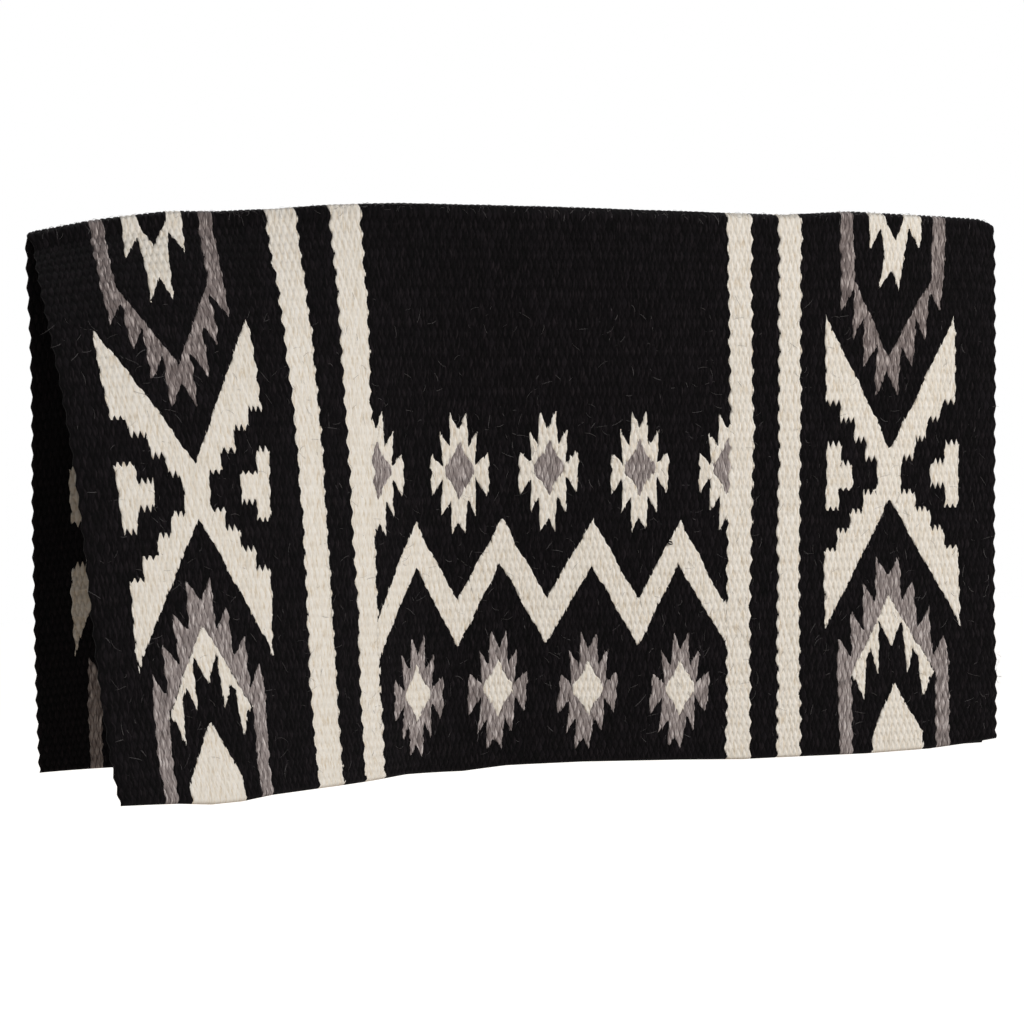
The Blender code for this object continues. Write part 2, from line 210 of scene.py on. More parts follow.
def lean(side, across, down):
    """The cloth's angle from plumb, in degrees."""
    way_down = np.clip((down - QUARTER) / (HALF - QUARTER), 0, 1.05)
    rise = np.clip((down - QUARTER) / RISE, 0, 1)
    if side == "front":
        top, middle, hem = FRONT_TWIST
        angle = top * (1 - way_down) ** 2 + 2 * middle * way_down * (1 - way_down) + hem * way_down**2
        angle = angle * twist_weight(across)
    else:
        angle = REAR_LEAN + REAR_TWIST * twist_weight(across)
    return angle * rise**2 * (3 - 2 * rise)


print("lean at the left edge, a tenth of the way down:", round(float(lean("front", 0.0, HALF / 10)), 1))

# %% [markdown]
# No rail holds a cloth quite straight. The fold rises and dips by a few millimetres, the loose side edges
# bulge, and the hems wander, because the last ribs were never beaten evenly. These are read off the
# photograph at a few places, in metres, and filled in evenly between them.

# %% The fold, the side edges and the hems
CREST_PLACES = (0.0, 0.05, 0.11, 0.15, 0.20, 0.24, 0.31, 0.45, 0.60, 0.66, 0.72, 0.77, 0.82, 0.850, 0.8636)
CREST_LIFTS = (0.0006, 0.0028, 0.0025, -0.0015, -0.0030, -0.0016, -0.0004, -0.0008, -0.0026, -0.0032, 0.0010,
               -0.0004, -0.0020, -0.0034, -0.0075)
CREST_FADE = 0.090
LEFT_BULGE, LEFT_BULGE_FADE = 0.0055, {"front": 0.010, "rear": 0.060}
LEFT_DOWN = (0.0, 0.06, 0.17, 0.30, 0.40, 0.48)
LEFT_SPREAD = {"front": (0.0, 0.0, 0.0, 0.0, 0.0, 0.0007),
               "rear": (0.0, -0.0008, 0.0013, 0.0006, -0.0008, -0.0022)}
RIGHT_DOWN = (0.0, 0.020, 0.060, 0.150, 0.280, 0.360, 0.420, 0.500)
RIGHT_SPREAD = (-0.0026, -0.0012, -0.0004, 0.0008, 0.0012, 0.0018, 0.0046, 0.0050)
LEFT_LOOSE, RIGHT_LOOSE = 0.080, 0.120
HEM_PLACES = (0.0, 0.05, 0.08, 0.11, 0.14, 0.20, 0.30, 0.36, 0.40, 0.47, 0.56, 0.62, 0.66, 0.74, 0.80, 0.84,
              0.8636)
HEM_LENGTHS = (-0.0024, 0.0000, 0.0024, 0.0023, 0.0002, -0.0014, -0.0034, -0.0017, -0.0036, -0.0033,
               -0.0009, 0.0014, 0.0016, 0.0024, 0.0012, -0.0022, -0.0052)
REAR_HEM_PLACES = (0.0, 0.08, 0.15, 0.80, 0.84, 0.8636)
REAR_HEM_LENGTHS = (-0.0008, 0.0010, 0.0, 0.0, -0.0028, -0.0034)
HEMS = {"front": (HEM_PLACES, HEM_LENGTHS), "rear": (REAR_HEM_PLACES, REAR_HEM_LENGTHS)}
HEM_EASE = 0.050


def unevenness(side, across, down):
    """Sideways and upward shifts that the rail and the loose selvages give."""
    lift = np.interp(across, CREST_PLACES, CREST_LIFTS) * np.exp(-((down / CREST_FADE) ** 2))
    near_left = np.clip(1 - across / LEFT_LOOSE, 0, 1) ** 2
    near_right = np.clip((across - WIDTH + RIGHT_LOOSE) / RIGHT_LOOSE, 0, 1) ** 2
    aside = -LEFT_BULGE * near_left * np.exp(-((down / LEFT_BULGE_FADE[side]) ** 2))
    aside += near_left * np.interp(down, LEFT_DOWN, LEFT_SPREAD[side])
    aside += near_right * np.interp(down, RIGHT_DOWN, RIGHT_SPREAD)
    return aside, lift


def hem_ease(side, across, down):
    """How much longer the cloth is here because of its uneven hem."""
    share = np.clip((down - HALF + HEM_EASE) / HEM_EASE, 0, 1.1)
    return np.interp(across, *HEMS[side]) * share**3


print("fold rises and dips by", round((max(CREST_LIFTS) - min(CREST_LIFTS)) / 2 * 1000, 1), "mm")

# %% [markdown]
# Adding the lean up gives a grid of points for each half, with the direction that faces out at each one.
# Any place on the cloth can then be looked up: how far across, how far down from the fold, and how high
# above the middle of the cloth's thickness.

# %% Hang both halves
EDGE_SPARE = 0.004
POINTS_ACROSS, POINTS_OVER_FOLD, POINTS_DOWN = 321, 15, 241


def running_sum(values, steps):
    """What the values add up to from the fold down, for each place across."""
    middles = (values[:, 1:] + values[:, :-1]) / 2 * steps
    return np.concatenate([np.zeros((len(values), 1)), np.cumsum(middles, axis=1)], axis=1)


def hang(side):
    """The grid of one half: where its lines lie on the cloth, its points, and which way is out."""
    across_line = np.linspace(-EDGE_SPARE, WIDTH + EDGE_SPARE, POINTS_ACROSS)
    down_line = np.concatenate([np.linspace(0, QUARTER, POINTS_OVER_FOLD),
                                np.linspace(QUARTER, HALF + OVERRUN, POINTS_DOWN)[1:]])
    across, down = np.meshgrid(across_line, down_line, indexing="ij")
    steps = np.diff(down_line)
    angle = np.radians(lean(side, across, down))
    turn = np.minimum(down, QUARTER) / FOLD_RADIUS
    hanging = down >= QUARTER
    outward = FOLD_RADIUS * np.sin(turn) + running_sum(np.where(hanging, np.sin(angle), 0), steps)
    drop = FOLD_RADIUS * (1 - np.cos(turn)) + running_sum(np.where(hanging, np.cos(angle), 0), steps)
    drop += SAG * np.clip(1 - across / SAG_REACH, 0, 2) ** 2
    pitch = across_line[1] - across_line[0]
    slope = (np.diff(outward, axis=0) / pitch) ** 2 + (np.diff(drop, axis=0) / pitch) ** 2
    runs = np.sqrt(np.clip(1 - slope, 0, 1)) * pitch
    along = np.concatenate([np.zeros((1, down.shape[1])), np.cumsum(runs, axis=0)])
    along -= along[len(across_line) // 2]
    aside, lift = unevenness(side, across, down)
    points = np.stack([along + aside, outward, THICKNESS / 2 - drop + lift], axis=-1)
    normals = np.cross(np.gradient(points, across_line, axis=0), np.gradient(points, down_line, axis=1))
    normals /= np.linalg.norm(normals, axis=-1, keepdims=True)
    if side == "front":
        points[..., 1] *= -1
        normals[..., 1] *= -1
    on_crest = normals[POINTS_ACROSS // 2, POINTS_OVER_FOLD // 3]
    return across_line, down_line, points, -normals if on_crest[2] < 0 else normals


HALVES = {side: hang(side) for side in ("front", "rear")}


def place(side, across, down, height):
    """World points for arrays of cloth places on one half."""
    across_line, down_line, points, normals = HALVES[side]
    i = np.clip(np.searchsorted(across_line, across) - 1, 0, len(across_line) - 2)
    j = np.clip(np.searchsorted(down_line, down) - 1, 0, len(down_line) - 2)
    p = ((across - across_line[i]) / (across_line[i + 1] - across_line[i]))[..., None]
    q = ((down - down_line[j]) / (down_line[j + 1] - down_line[j]))[..., None]
    total = 0
    for di, wi in ((0, 1 - p), (1, p)):
        for dj, wj in ((0, 1 - q), (1, q)):
            total = total + wi * wj * (points[i + di, j + dj] + height[..., None] * normals[i + di, j + dj])
    return total


left_hem = place("front", np.array([0.0]), np.array([HALF]), np.array([0.0]))[0]
print("front left corner stands out", round(-left_hem[1], 3), "m")

# %% [markdown]
# The weave. This is a weft-faced tapestry: stiff warps lie inside the ribs and are hidden, and the wool
# wefts run down the cloth, over one warp and under the next. What shows is a wall of floats, one rib tall
# and about five millimetres wide, set like bricks. Each float's ends taper between the floats of the next
# ribs. That taper is what gives the design its teeth, so the loom grid below is drawn along it.

# %% The loom's ribs and floats
FLOATS = 173
FLOAT = WIDTH / FLOATS
CLOTH_HALF = 0.4858
RIB = 0.0083
HEM_TIGHTENING, HEM_REACH = 0.205, 0.060
TAPER = 0.0033
LINES_PER_FLOAT = 4
ROWS_PER_RIB = 4
RIBS = 59
FINE_STEPS = 2001


def rib_edges():
    """Where one rib ends and the next begins, from the middle warp to the hem, where ribs are tighter."""
    fine = np.linspace(0, CLOTH_HALF, FINE_STEPS)
    density = 1 / (RIB * (1 - HEM_TIGHTENING * np.exp(-(CLOTH_HALF - fine) / HEM_REACH)))
    count = np.concatenate([[0], np.cumsum((density[1:] + density[:-1]) / 2 * np.diff(fine))])
    count *= (RIBS + 0.5) / count[-1]
    return np.interp(np.arange(RIBS + 1) + 0.5, count, fine)


front_edges = rib_edges()
EDGES = np.concatenate([-front_edges[::-1], front_edges])
RIB_COUNT = len(EDGES) - 1
rng = np.random.default_rng(7)
one_rib = float(front_edges[6] - front_edges[5])
print("ribs", RIB_COUNT, "floats in a rib", FLOATS, "one rib", round(one_rib, 5), "m")

# %% [markdown]
# The fold was not made exactly along a warp. The stripes' scallops show the ribs meeting the fold at a
# slight angle, so the front half is a few millimetres longer at its left end than at its right.

# %% Where the fold crosses the ribs
FOLD_SKEW = 0.0092
FOLD_CROSSING = 0.463


def fold_line(across):
    """How far in front of the middle warp the fold lies."""
    return FOLD_SKEW * (across - FOLD_CROSSING)


print("fold wanders", round((fold_line(WIDTH) - fold_line(0)) * 1000, 1), "mm")

# %% [markdown]
# Now the grid of points. Lines run down the cloth every quarter of a float, and rows run across it, but
# where two ribs meet the row zigzags: it drops under the middle of each float above and climbs over the
# middle of each float below. Floats so drawn have pointed ends that fit between one another exactly.

# %% Grid lines and the zigzag seams between ribs
LINES = FLOATS * LINES_PER_FLOAT + 1
QUARTER_FLOAT = FLOAT / LINES_PER_FLOAT
line_across = np.arange(LINES) * QUARTER_FLOAT
TOOTH = np.array([-1.0, 0.0, 1.0, 0.0])


def seam_reach(number):
    """How far the seam after this many ribs swings, and to which side first."""
    if number in (0, RIB_COUNT):
        return 0.0
    return TAPER if (number - 1 - RIB_COUNT // 2) % 2 == 0 else -TAPER


rows = []
for number in range(RIB_COUNT):
    top = EDGES[number] + seam_reach(number) * TOOTH[np.arange(LINES) % LINES_PER_FLOAT]
    bottom = EDGES[number + 1] + seam_reach(number + 1) * TOOTH[np.arange(LINES) % LINES_PER_FLOAT]
    for row in range(ROWS_PER_RIB):
        rows.append(top + (bottom - top) * row / ROWS_PER_RIB)
rows.append(bottom)
grid_down = np.array(rows)
grid_across = np.repeat(line_across[None, :], len(rows), axis=0)
ROWS = len(rows)
row_rib = np.minimum(np.arange(ROWS) // ROWS_PER_RIB, RIB_COUNT - 1)
odd = (np.arange(RIB_COUNT) - RIB_COUNT // 2) % 2
print("grid", ROWS, "by", LINES)

# %% [markdown]
# The design is set out the way a weaver's cartoon is: outlines measured across in millimetres and down in
# warps from the middle warp. The stripes are bands between lines that sway a little, and the zigzag is a band
# between two broken lines. Diamonds have four matching quarters, so one quarter of each kind is enough.

# %% Stripes, zigzag and diamonds
MM = 0.001
WARP = HALF / 60
STRIPE_EDGES = (0.1934, 0.2185, 0.2452, 0.2708, 0.6028, 0.6256, 0.6506, 0.6716)
STRIPE_SWAY_WARPS = (0, 3, 8, 15, 24, 36, 44, 52, 60)
STRIPE_SWAYS = (
    (-2.2, -0.8, 0.8, 1.3, 0.6, -0.7, -1.7, -3.5, -5.8), (-1.8, -1.0, 0.0, 0.3, 0.0, -0.8, -0.1, -1.2, -1.9),
    (0.0, 1.3, 1.8, 0.5, -1.0, -0.9, 1.5, -1.0, -1.0), (1.2, 1.8, 2.2, 1.0, -0.5, -3.0, -2.4, -1.7, -0.4),
    (-1.8, -0.5, 0.0, 1.5, 3.0, 0.6, -0.4, -0.5, -0.3), (-1.5, 0.2, -0.3, 0.2, 1.6, 0.3, -0.4, -0.2, 0.0),
    (-1.8, 0.0, 0.5, 0.4, 1.0, -0.1, 0.3, 0.8, 1.2), (-0.9, 1.0, -0.2, 0.2, 0.6, 0.1, 0.0, 1.2, 2.2))
ZIGZAG_TOP = ((258, 45.8), (270.5, 43.1), (313.4, 33.4), (354.3, 41.9), (395.5, 33.3), (436.2, 42.0),
              (478.2, 33.7), (519.8, 42.5), (559.2, 33.9), (596.8, 42.6), (603.0, 43.3), (612, 46.0))
ZIGZAG_BOTTOM = ((258, 49.4), (271, 47.2), (314.0, 38.2), (354.8, 46.9), (394.0, 38.0), (435.0, 46.9),
                 (477.2, 38.7), (520.0, 47.5), (557.2, 38.9), (602, 47.6), (612, 49.6))
UPPER_DIAMONDS = ((274.8, 28.0), (356.4, 28.1), (438.0, 28.0), (521.3, 28.2), (603.0, 28.4))
LOWER_DIAMONDS = ((313.2, 51.5), (391.6, 51.4), (474.0, 51.9), (559.2, 52.3))
DIAMOND_WARPS = 6
DIAMOND_TOP = ((0, 4.2), (7.2, 6.2), (8.8, 2.4), (17.9, 4.2), (15.0, 0.5), (26.0, 1.7), (27.6, 0.5),
               (25.8, 0))
DIAMOND_FOOT = ((0, 5.4), (6.6, 6.8), (7.9, 3.1), (16.4, 4.9), (15.2, 0.9), (25.4, 2.8), (27.4, 1.2),
                (25.8, 0))
DIAMOND_CORE = ((0, 3.1), (4.4, 1.8), (8.4, 1.2), (13.4, 0.45), (13.6, 0))
NO_LEANS = (0.0, 0.0)
UPPER_LEANS = (-0.9, -1.0)
LOWER_LEANS = ((1.0, -2.8), (1.0, -3.4), (0.8, -5.2), (0.6, -5.0))
print("diamonds", len(UPPER_DIAMONDS) + len(LOWER_DIAMONDS))

# %% [markdown]
# The outer columns hold one figure over another: at the fold a cream forked star inside a grey feathered V,
# then a stepped cross between two combs, and at the hem a grey feathered chevron over a cream one and a
# triangle. Each has two matching sides, so only its right half is written down. The combs have their own
# outlines, because no two of them are alike.

# %% Figures of the outer columns
CROSS = ((0, 27.6), (14, 24.4), (57.8, 14.3), (62.8, 12.8), (65.2, 14.6), (66, 22.35), (52.6, 22.35),
         (52, 24.2), (38, 24.2), (37.2, 26.4), (25, 26.4), (24.4, 28.45), (13.2, 28.45), (11.4, 30.4),
         (12, 32.2), (23.9, 32.2), (25, 34.2), (37.5, 34.2), (38.2, 36.3), (50.5, 36.3), (51.3, 38.4),
         (63.3, 38.4), (62.8, 44.8), (61.6, 47.3), (58.4, 45.9), (28, 39.2), (0, 32.9))
STAR = ((0, 3.6), (12.0, 0.2), (12.4, -1), (24.9, -1), (25.0, 2.4), (24.5, 4.9), (19.4, 3.5), (13.0, 2.1),
        (10.4, 5), (9.6, 8.0), (10.2, 10.5), (5, 8.8), (0, 7.6))
FEATHERED_V = ((0, 17.6), (37.6, 8.8), (38.6, 7.6), (38.8, -1), (50.2, -1), (50.6, 9.2), (49.4, 12.6),
               (37.0, 10.0), (37.0, 13.2), (36.0, 15.8), (25.0, 13.2), (25.2, 16.4), (24.2, 18.9),
               (11.4, 16.3), (12.0, 19.4), (11.2, 22.1), (0, 19.4))
FEATHERED_CHEVRON = ((0, 41.0), (10.8, 38.8), (12.4, 44.0), (24.2, 41.8), (25.0, 47.0), (37, 44.8),
                     (37.6, 50.0), (48.6, 47.7), (51.2, 50.8), (50.8, 64), (39.0, 64), (38.9, 51.9),
                     (0, 43.4))
TOOTHED_CHEVRON = ((0, 43.4), (38.6, 51.8), (34.0, 52.3), (27.2, 54.8), (24.2, 50.2), (19.4, 49.3),
                   (12.4, 51.9), (10.8, 46.2), (0, 49.2))
HEM_TRIANGLE = ((0, 52.8), (25.2, 58.5), (26.0, 64))
COMBS = {
    "left_outer": ((31.2, 27.4), (48.4, 27.3), (48.6, 29.2), (62.8, 29.1), (61.8, 31.9), (46.4, 31.9),
                   (45.6, 34.0), (32.6, 34.1)),
    "left_inner": ((155.4, 26.1), (167.6, 26.0), (165.4, 29.6), (163.2, 33.1), (150.6, 33.2), (151.2, 31.4),
                   (137.4, 31.4), (138.8, 28.5), (153.9, 28.5)),
    "right_inner": ((698.2, 26.0), (711.9, 26.0), (711.6, 28.1), (722.2, 28.1), (722.2, 31.0),
                    (709.8, 31.0), (709.4, 33.2), (697.0, 33.2)),
    "right_outer": ((813.4, 26.0), (826.8, 26.0), (826.8, 33.3), (814.0, 33.1), (813.4, 30.8),
                    (799.0, 30.8), (799.2, 28.1), (813.2, 28.1)),
}
print("a stepped cross is", 2 * max(across for across, warps in CROSS), "mm wide")

# %% [markdown]
# A weaver's figures wander a little, because each one was beaten down by hand. Each figure gets a few
# readings: at some warps, where its middle line runs, how wide it is there against the drawing, and how far
# it sits above the drawn place. The places between the readings are filled in evenly.

# %% How each figure wanders
SIDE_TILTS = {"left": 0.007, "right": 0.0}
WANDERS = {
    "left_forked_star": ((0, 96.0, 1.0, 0.0), (4, 96.6, 1.0, -0.2), (8, 95.4, 1.0, -0.1),
                         (11, 94.8, 1.0, -0.2)),
    "left_feathered_v": ((0, 96.0, 1.0, 0.0), (8, 97.8, 1.0, 0.0), (13, 98.6, 1.01, 0.05),
                         (16, 98.8, 1.0, 0.05), (22, 97.4, 1.0, 0.15)),
    "left_stepped_cross": ((13, 98.0, 1.015, 0.0), (20, 99.0, 1.01, 0.0), (26, 99.8, 0.98, 0.0),
                           (31, 99.0, 0.99, 0.0), (34.6, 96.5, 0.975, 0.0), (38.6, 96.0, 0.99, 0.0),
                           (47, 93.6, 0.985, -0.1)),
    "left_feathered_chevron": ((38, 92.0, 1.0, 0.0), (42, 91.4, 1.0, 0.0), (48.4, 93.0, 1.0, 0.0),
                               (51, 92.6, 1.0, 0.0), (60, 86.6, 1.0, 0.0)),
    "left_toothed_chevron": ((43, 91.6, 1.0, 0.0), (55, 92.4, 1.0, 0.0)),
    "left_hem_triangle": ((52, 90.2, 1.0, 0.0), (57, 88.2, 1.0, 0.0), (60, 85.8, 1.0, 0.0)),
    "right_forked_star": ((0, 761.6, 1.06, 0.2), (4, 763.2, 1.0, 0.15), (6.6, 761.2, 0.95, 0.8),
                          (10, 756.8, 1.0, 1.3)),
    "right_feathered_v": ((0, 761.4, 1.03, 0.0), (5, 762.0, 0.99, 0.4), (8, 760.8, 0.985, 0.9),
                          (12, 759.3, 0.99, 1.3), (17, 757.0, 0.98, 1.3), (22, 755.2, 1.0, 1.35)),
    "right_stepped_cross": ((12, 758.5, 0.985, 0.95), (21, 760.5, 0.957, 0.9), (26, 759.9, 0.945, 0.85),
                            (29, 758.3, 0.96, 0.8), (31, 758.0, 1.02, 0.8), (36, 760.0, 1.035, 0.8),
                            (40, 761.4, 1.03, 0.6), (47, 763.1, 1.06, 0.5)),
    "right_feathered_chevron": ((38.5, 756.8, 1.0, 0.2), (41.4, 758.0, 1.015, 0.2),
                                (44.4, 759.4, 1.03, 0.35), (47.5, 761.5, 1.06, 0.1),
                                (54, 765.0, 1.055, 0.0), (60, 766.2, 1.035, 0.0)),
    "right_toothed_chevron": ((42.5, 757.9, 1.04, 0.6), (48.6, 762.2, 1.04, 0.35), (52, 763.4, 1.07, 0.0),
                              (55, 763.7, 1.055, 0.0)),
    "right_hem_triangle": ((52.5, 764.5, 0.97, 0.0), (57.7, 768.2, 0.97, 0.0), (60, 768.6, 0.96, 0.0)),
}


def wander(figure, across_mm, warps):
    """Turn a place in a figure into millimetres from the left edge and warps from the middle warp."""
    places, middles, widths, lifts = zip(*WANDERS[figure])
    middle = np.interp(warps, places, middles) + across_mm * np.interp(warps, places, widths)
    tilt = SIDE_TILTS[figure.split("_")[0]]
    return middle, warps - np.interp(warps, places, lifts) - tilt * across_mm


def whole_figure(figure, half):
    """A whole figure from its right half."""
    return [wander(figure, a, w) for a, w in half] + [wander(figure, -a, w) for a, w in half[::-1]]


def diamond(middle, top, foot, leans):
    """A diamond whose top and foot lean a little, in millimetres at the tips."""
    across, warps = middle
    loop = []
    for sx, sy, quarter in ((1, -1, top), (1, 1, foot[::-1]), (-1, 1, foot), (-1, -1, top[::-1])):
        aside = leans[1] if sy > 0 else leans[0]
        loop += [(across + sx * a + aside * w / DIAMOND_WARPS, warps + sy * w) for a, w in quarter]
    return loop


print("left triangle's middle at the hem", wander("left_hem_triangle", 0, 60)[0], "mm")

# %% [markdown]
# A weft can't draw a straight line. Where an outline runs along the ribs, the floats' pointed ends stand
# up as teeth. Where it runs down the cloth, every second rib is set half a float aside, so the edge
# scallops. A slanting edge only ripples, and a weft ends a little early here or a little late there, as the
# weaver's hand does it. This turns drawn outlines into woven ones.

# %% Woven edges
SEAM_WARPS = front_edges / WARP
LEVEL_WARPS = 0.55
EDGE_STEP_MM = 1.5
LEVEL_RUN_MM = 4
UPRIGHT_SLANT_SHARE = 0.3
SLANT_RIPPLE_MM = 0.55
UNEVEN_MM = 0.35
UNEVEN_PACE = 2.4


def rib_at(warps):
    """Which rib a place lies in, counted from the middle warp, as a running number."""
    down = np.abs(warps) * WARP
    return np.where(down < front_edges[0], 0.5 * down / front_edges[0],
                    np.interp(down, front_edges, np.arange(RIBS + 1) + 0.5))


def teeth(start, end, warps):
    """The zigzag of float ends along a level edge."""
    quarter_mm = QUARTER_FLOAT / MM
    low, high = min(start, end), max(start, end)
    lines = np.arange(np.ceil(low / quarter_mm), np.floor(high / quarter_mm) + 1)
    across = np.unique(np.concatenate([[low], lines * quarter_mm, [high]]))
    nearest = int(np.argmin(np.abs(SEAM_WARPS - warps)))
    reach = seam_reach(nearest + RIB_COUNT // 2 + 1) / WARP
    swing = np.interp(across / quarter_mm, np.arange(LINES), TOOTH[np.arange(LINES) % LINES_PER_FLOAT])
    zigzag = list(zip(across, warps + reach * swing))
    return zigzag if end > start else zigzag[::-1]


def woven_edge(outline, scallop):
    """The outline as the weft draws it. The scallop is in millimetres."""
    corners = [list(c) for c in outline]
    count = len(corners)
    level = []
    for i in range(count):
        here, there = corners[i], corners[(i + 1) % count]
        run, fall = abs(there[0] - here[0]), abs(there[1] - here[1])
        is_level = fall < LEVEL_WARPS and run > LEVEL_RUN_MM and 0.5 < here[1] < RIBS + 0.5
        level.append(is_level)
        if is_level:
            here[1] = there[1] = (here[1] + there[1]) / 2
    loop = []
    for i in range(count):
        (x0, y0), (x1, y1) = corners[i], corners[(i + 1) % count]
        if level[i]:
            loop += teeth(x0, x1, y0)
            continue
        tall = abs(y1 - y0) * WARP / MM
        steps = max(1, int(round(np.hypot(x1 - x0, tall) / EDGE_STEP_MM)))
        share = np.arange(steps) / steps
        across, warps = x0 + (x1 - x0) * share, y0 + (y1 - y0) * share
        upright = np.clip(1 - abs(x1 - x0) / max(UPRIGHT_SLANT_SHARE * tall, 0.01), 0, 1)
        ribs = rib_at(warps)
        across = across - scallop * upright * np.cos(pi * ribs)
        across = across + SLANT_RIPPLE_MM * (1 - upright) * np.sin(2 * pi * ribs)
        uneven = np.sin(UNEVEN_PACE * np.floor(ribs) ** 2 + (x0 + x1) / 2) * (share > 0)
        across = across + UNEVEN_MM * (1 - upright) * uneven
        loop += list(zip(across, warps))
    return np.array(loop)


print("points round a cross", len(woven_edge(whole_figure("left_stepped_cross", CROSS), 0.9)))

# %% [markdown]
# The two halves were woven from the same drawing, but not to the same beat. The rear half's figures sit up
# to two warps nearer the fold, and those of its left column a few millimetres aside, which shows in the gap
# at the left end. So a place on the rear half is first turned into the place of the drawing that it shows.

# %% The rear half's own places
REAR_WARPS = (0, 20, 34, 40, 47, 60)
REAR_LIFTS = (0.0, 1.0, 2.0, 2.0, 0.7, 0.8)
REAR_ASIDES = (0.0, 0.0, 0.5, -1.0, 1.6, 5.5)
LEFT_COLUMN_MM, LEFT_COLUMN_EASE_MM = 165, 25


def drawn_place(across_mm, signed_warps):
    """Where a place of the cloth lies in the drawing. The weaver beat the rear half's figures in tighter."""
    warps = np.abs(signed_warps)
    rear = signed_warps < 0
    in_left = np.clip((LEFT_COLUMN_MM + LEFT_COLUMN_EASE_MM - across_mm) / LEFT_COLUMN_EASE_MM, 0, 1)
    aside = np.where(rear, np.interp(warps, REAR_WARPS, REAR_ASIDES) * in_left, 0)
    return across_mm - aside, warps + np.where(rear, np.interp(warps, REAR_WARPS, REAR_LIFTS), 0)


print("a rear warp 34 shows what is drawn at", float(drawn_place(100.0, -34.0)[1]))

# %% [markdown]
# Weaving the design means giving every cell of the grid one yarn. Later areas are laid over earlier ones,
# and all the cloth starts as the left column's black. Each outline is kept as well, because the grid's own
# points are moved onto it later.

# %% Give every cell its yarn
AREAS = ["left_ground"]
YARN = {"left_ground": "black"}
OUTLINES = []
cell_across = (grid_across[:-1, :-1] + grid_across[1:, 1:]) / 2 / MM
cell_warps = (grid_down[:-1, :-1] + grid_down[1:, :-1] + grid_down[:-1, 1:] + grid_down[1:, 1:]) / 4 / WARP
cell_across, cell_warps = drawn_place(cell_across, cell_warps)
woven = np.zeros((ROWS - 1, LINES - 1), int)


def inside(outline):
    """Which cells have their middle inside the outline."""
    hit = np.zeros(woven.shape, bool)
    low, high = outline.min(axis=0), outline.max(axis=0)
    near = (cell_across > low[0]) & (cell_across < high[0]) & (cell_warps > low[1]) & (cell_warps < high[1])
    across, warps = cell_across[near], cell_warps[near]
    within = np.zeros(across.shape, bool)
    for (x0, y0), (x1, y1) in zip(outline, np.roll(outline, -1, axis=0)):
        if y0 != y1:
            crossing = (y0 > warps) != (y1 > warps)
            within ^= crossing & (across < (x1 - x0) * (warps - y0) / (y1 - y0) + x0)
    hit[near] = within
    return hit


def weave(name, yarn, outline, scallop, within=True):
    """Lay an area of one yarn into the cloth."""
    if name not in YARN:
        AREAS.append(name)
        YARN[name] = yarn
    edge = woven_edge(outline, scallop)
    woven[inside(edge) & within] = AREAS.index(name)
    OUTLINES.append((AREAS.index(name), edge))


print("cells", woven.size)

# %% [markdown]
# Each stripe is laid from its left line to the far edge and the next one covers the rest of it, so that no
# cell is left over between two. The zigzag parts the centre field, and the ground below it is an area of its
# own, because on a loom its wefts never meet those above.

# %% Stripes and zigzag
STRIPE_SCALLOP, ZIGZAG_SCALLOP = 1.25, 0.4
PAST_FOLD, PAST_HEM = -0.4, 66
PAST_EDGE_MM = 900
BELOW_ZIGZAG = ((612, 70), (262, 70))
sway_lines = []
for edge, sways in zip(STRIPE_EDGES, STRIPE_SWAYS):
    across = [edge / MM + sway for sway in sways]
    places = [PAST_FOLD, *STRIPE_SWAY_WARPS[1:], PAST_HEM]
    sway_lines.append(list(zip([*across, across[-1]], places)))
far_edge = [(PAST_EDGE_MM, PAST_HEM), (PAST_EDGE_MM, PAST_FOLD)]
bands = (("left_outer_stripe", "cream"), ("left_black_stripe", "black"), ("left_inner_stripe", "cream"),
         ("centre_ground_upper", "black"), ("right_inner_stripe", "cream"), ("right_black_stripe", "black"),
         ("right_outer_stripe", "cream"), ("right_ground", "black"))
for (name, yarn), start in zip(bands, sway_lines):
    weave(name, yarn, [*start, *far_edge], STRIPE_SCALLOP)
centre = woven == AREAS.index("centre_ground_upper")
weave("centre_ground_lower", "black", [*ZIGZAG_TOP, *BELOW_ZIGZAG], ZIGZAG_SCALLOP, centre)
weave("zigzag", "cream", [*ZIGZAG_TOP, *ZIGZAG_BOTTOM[::-1]], ZIGZAG_SCALLOP, centre)
print("areas so far", len(AREAS))

# %% [markdown]
# The diamonds have two yarns each: a toothed outline, and a core that is laid over it. The upper ones are
# cream with a grey core, and the lower ones the other way round. The first and the last of the upper row
# grow out of the cream stripes, so they are woven as part of those stripes, and only inside the centre field.

# %% Diamonds, with the end ones growing out of the stripes
DIAMOND_SCALLOP = 0.3


def weave_diamond(name, core_name, yarns, middle, leans, within=True):
    """A diamond of one yarn with a core of another."""
    weave(name, yarns[0], diamond(middle, DIAMOND_TOP, DIAMOND_FOOT, leans), DIAMOND_SCALLOP, within)
    weave(core_name, yarns[1], diamond(middle, DIAMOND_CORE, DIAMOND_CORE, NO_LEANS), DIAMOND_SCALLOP, within)


end_diamonds = {0: "left", len(UPPER_DIAMONDS) - 1: "right"}
for number, middle in enumerate(UPPER_DIAMONDS):
    name, core_name, within = f"upper_diamond_{number}", f"upper_diamond_{number}_core", True
    if number in end_diamonds:
        side = end_diamonds[number]
        name, core_name, within = side + "_inner_stripe", side + "_half_diamond_core", centre
    weave_diamond(name, core_name, ("cream", "grey"), middle, UPPER_LEANS, within)
for number, (middle, leans) in enumerate(zip(LOWER_DIAMONDS, LOWER_LEANS), 1):
    weave_diamond(f"lower_diamond_{number}", f"lower_diamond_{number}_core", ("grey", "cream"), middle, leans)
print("areas with diamonds", len(AREAS))

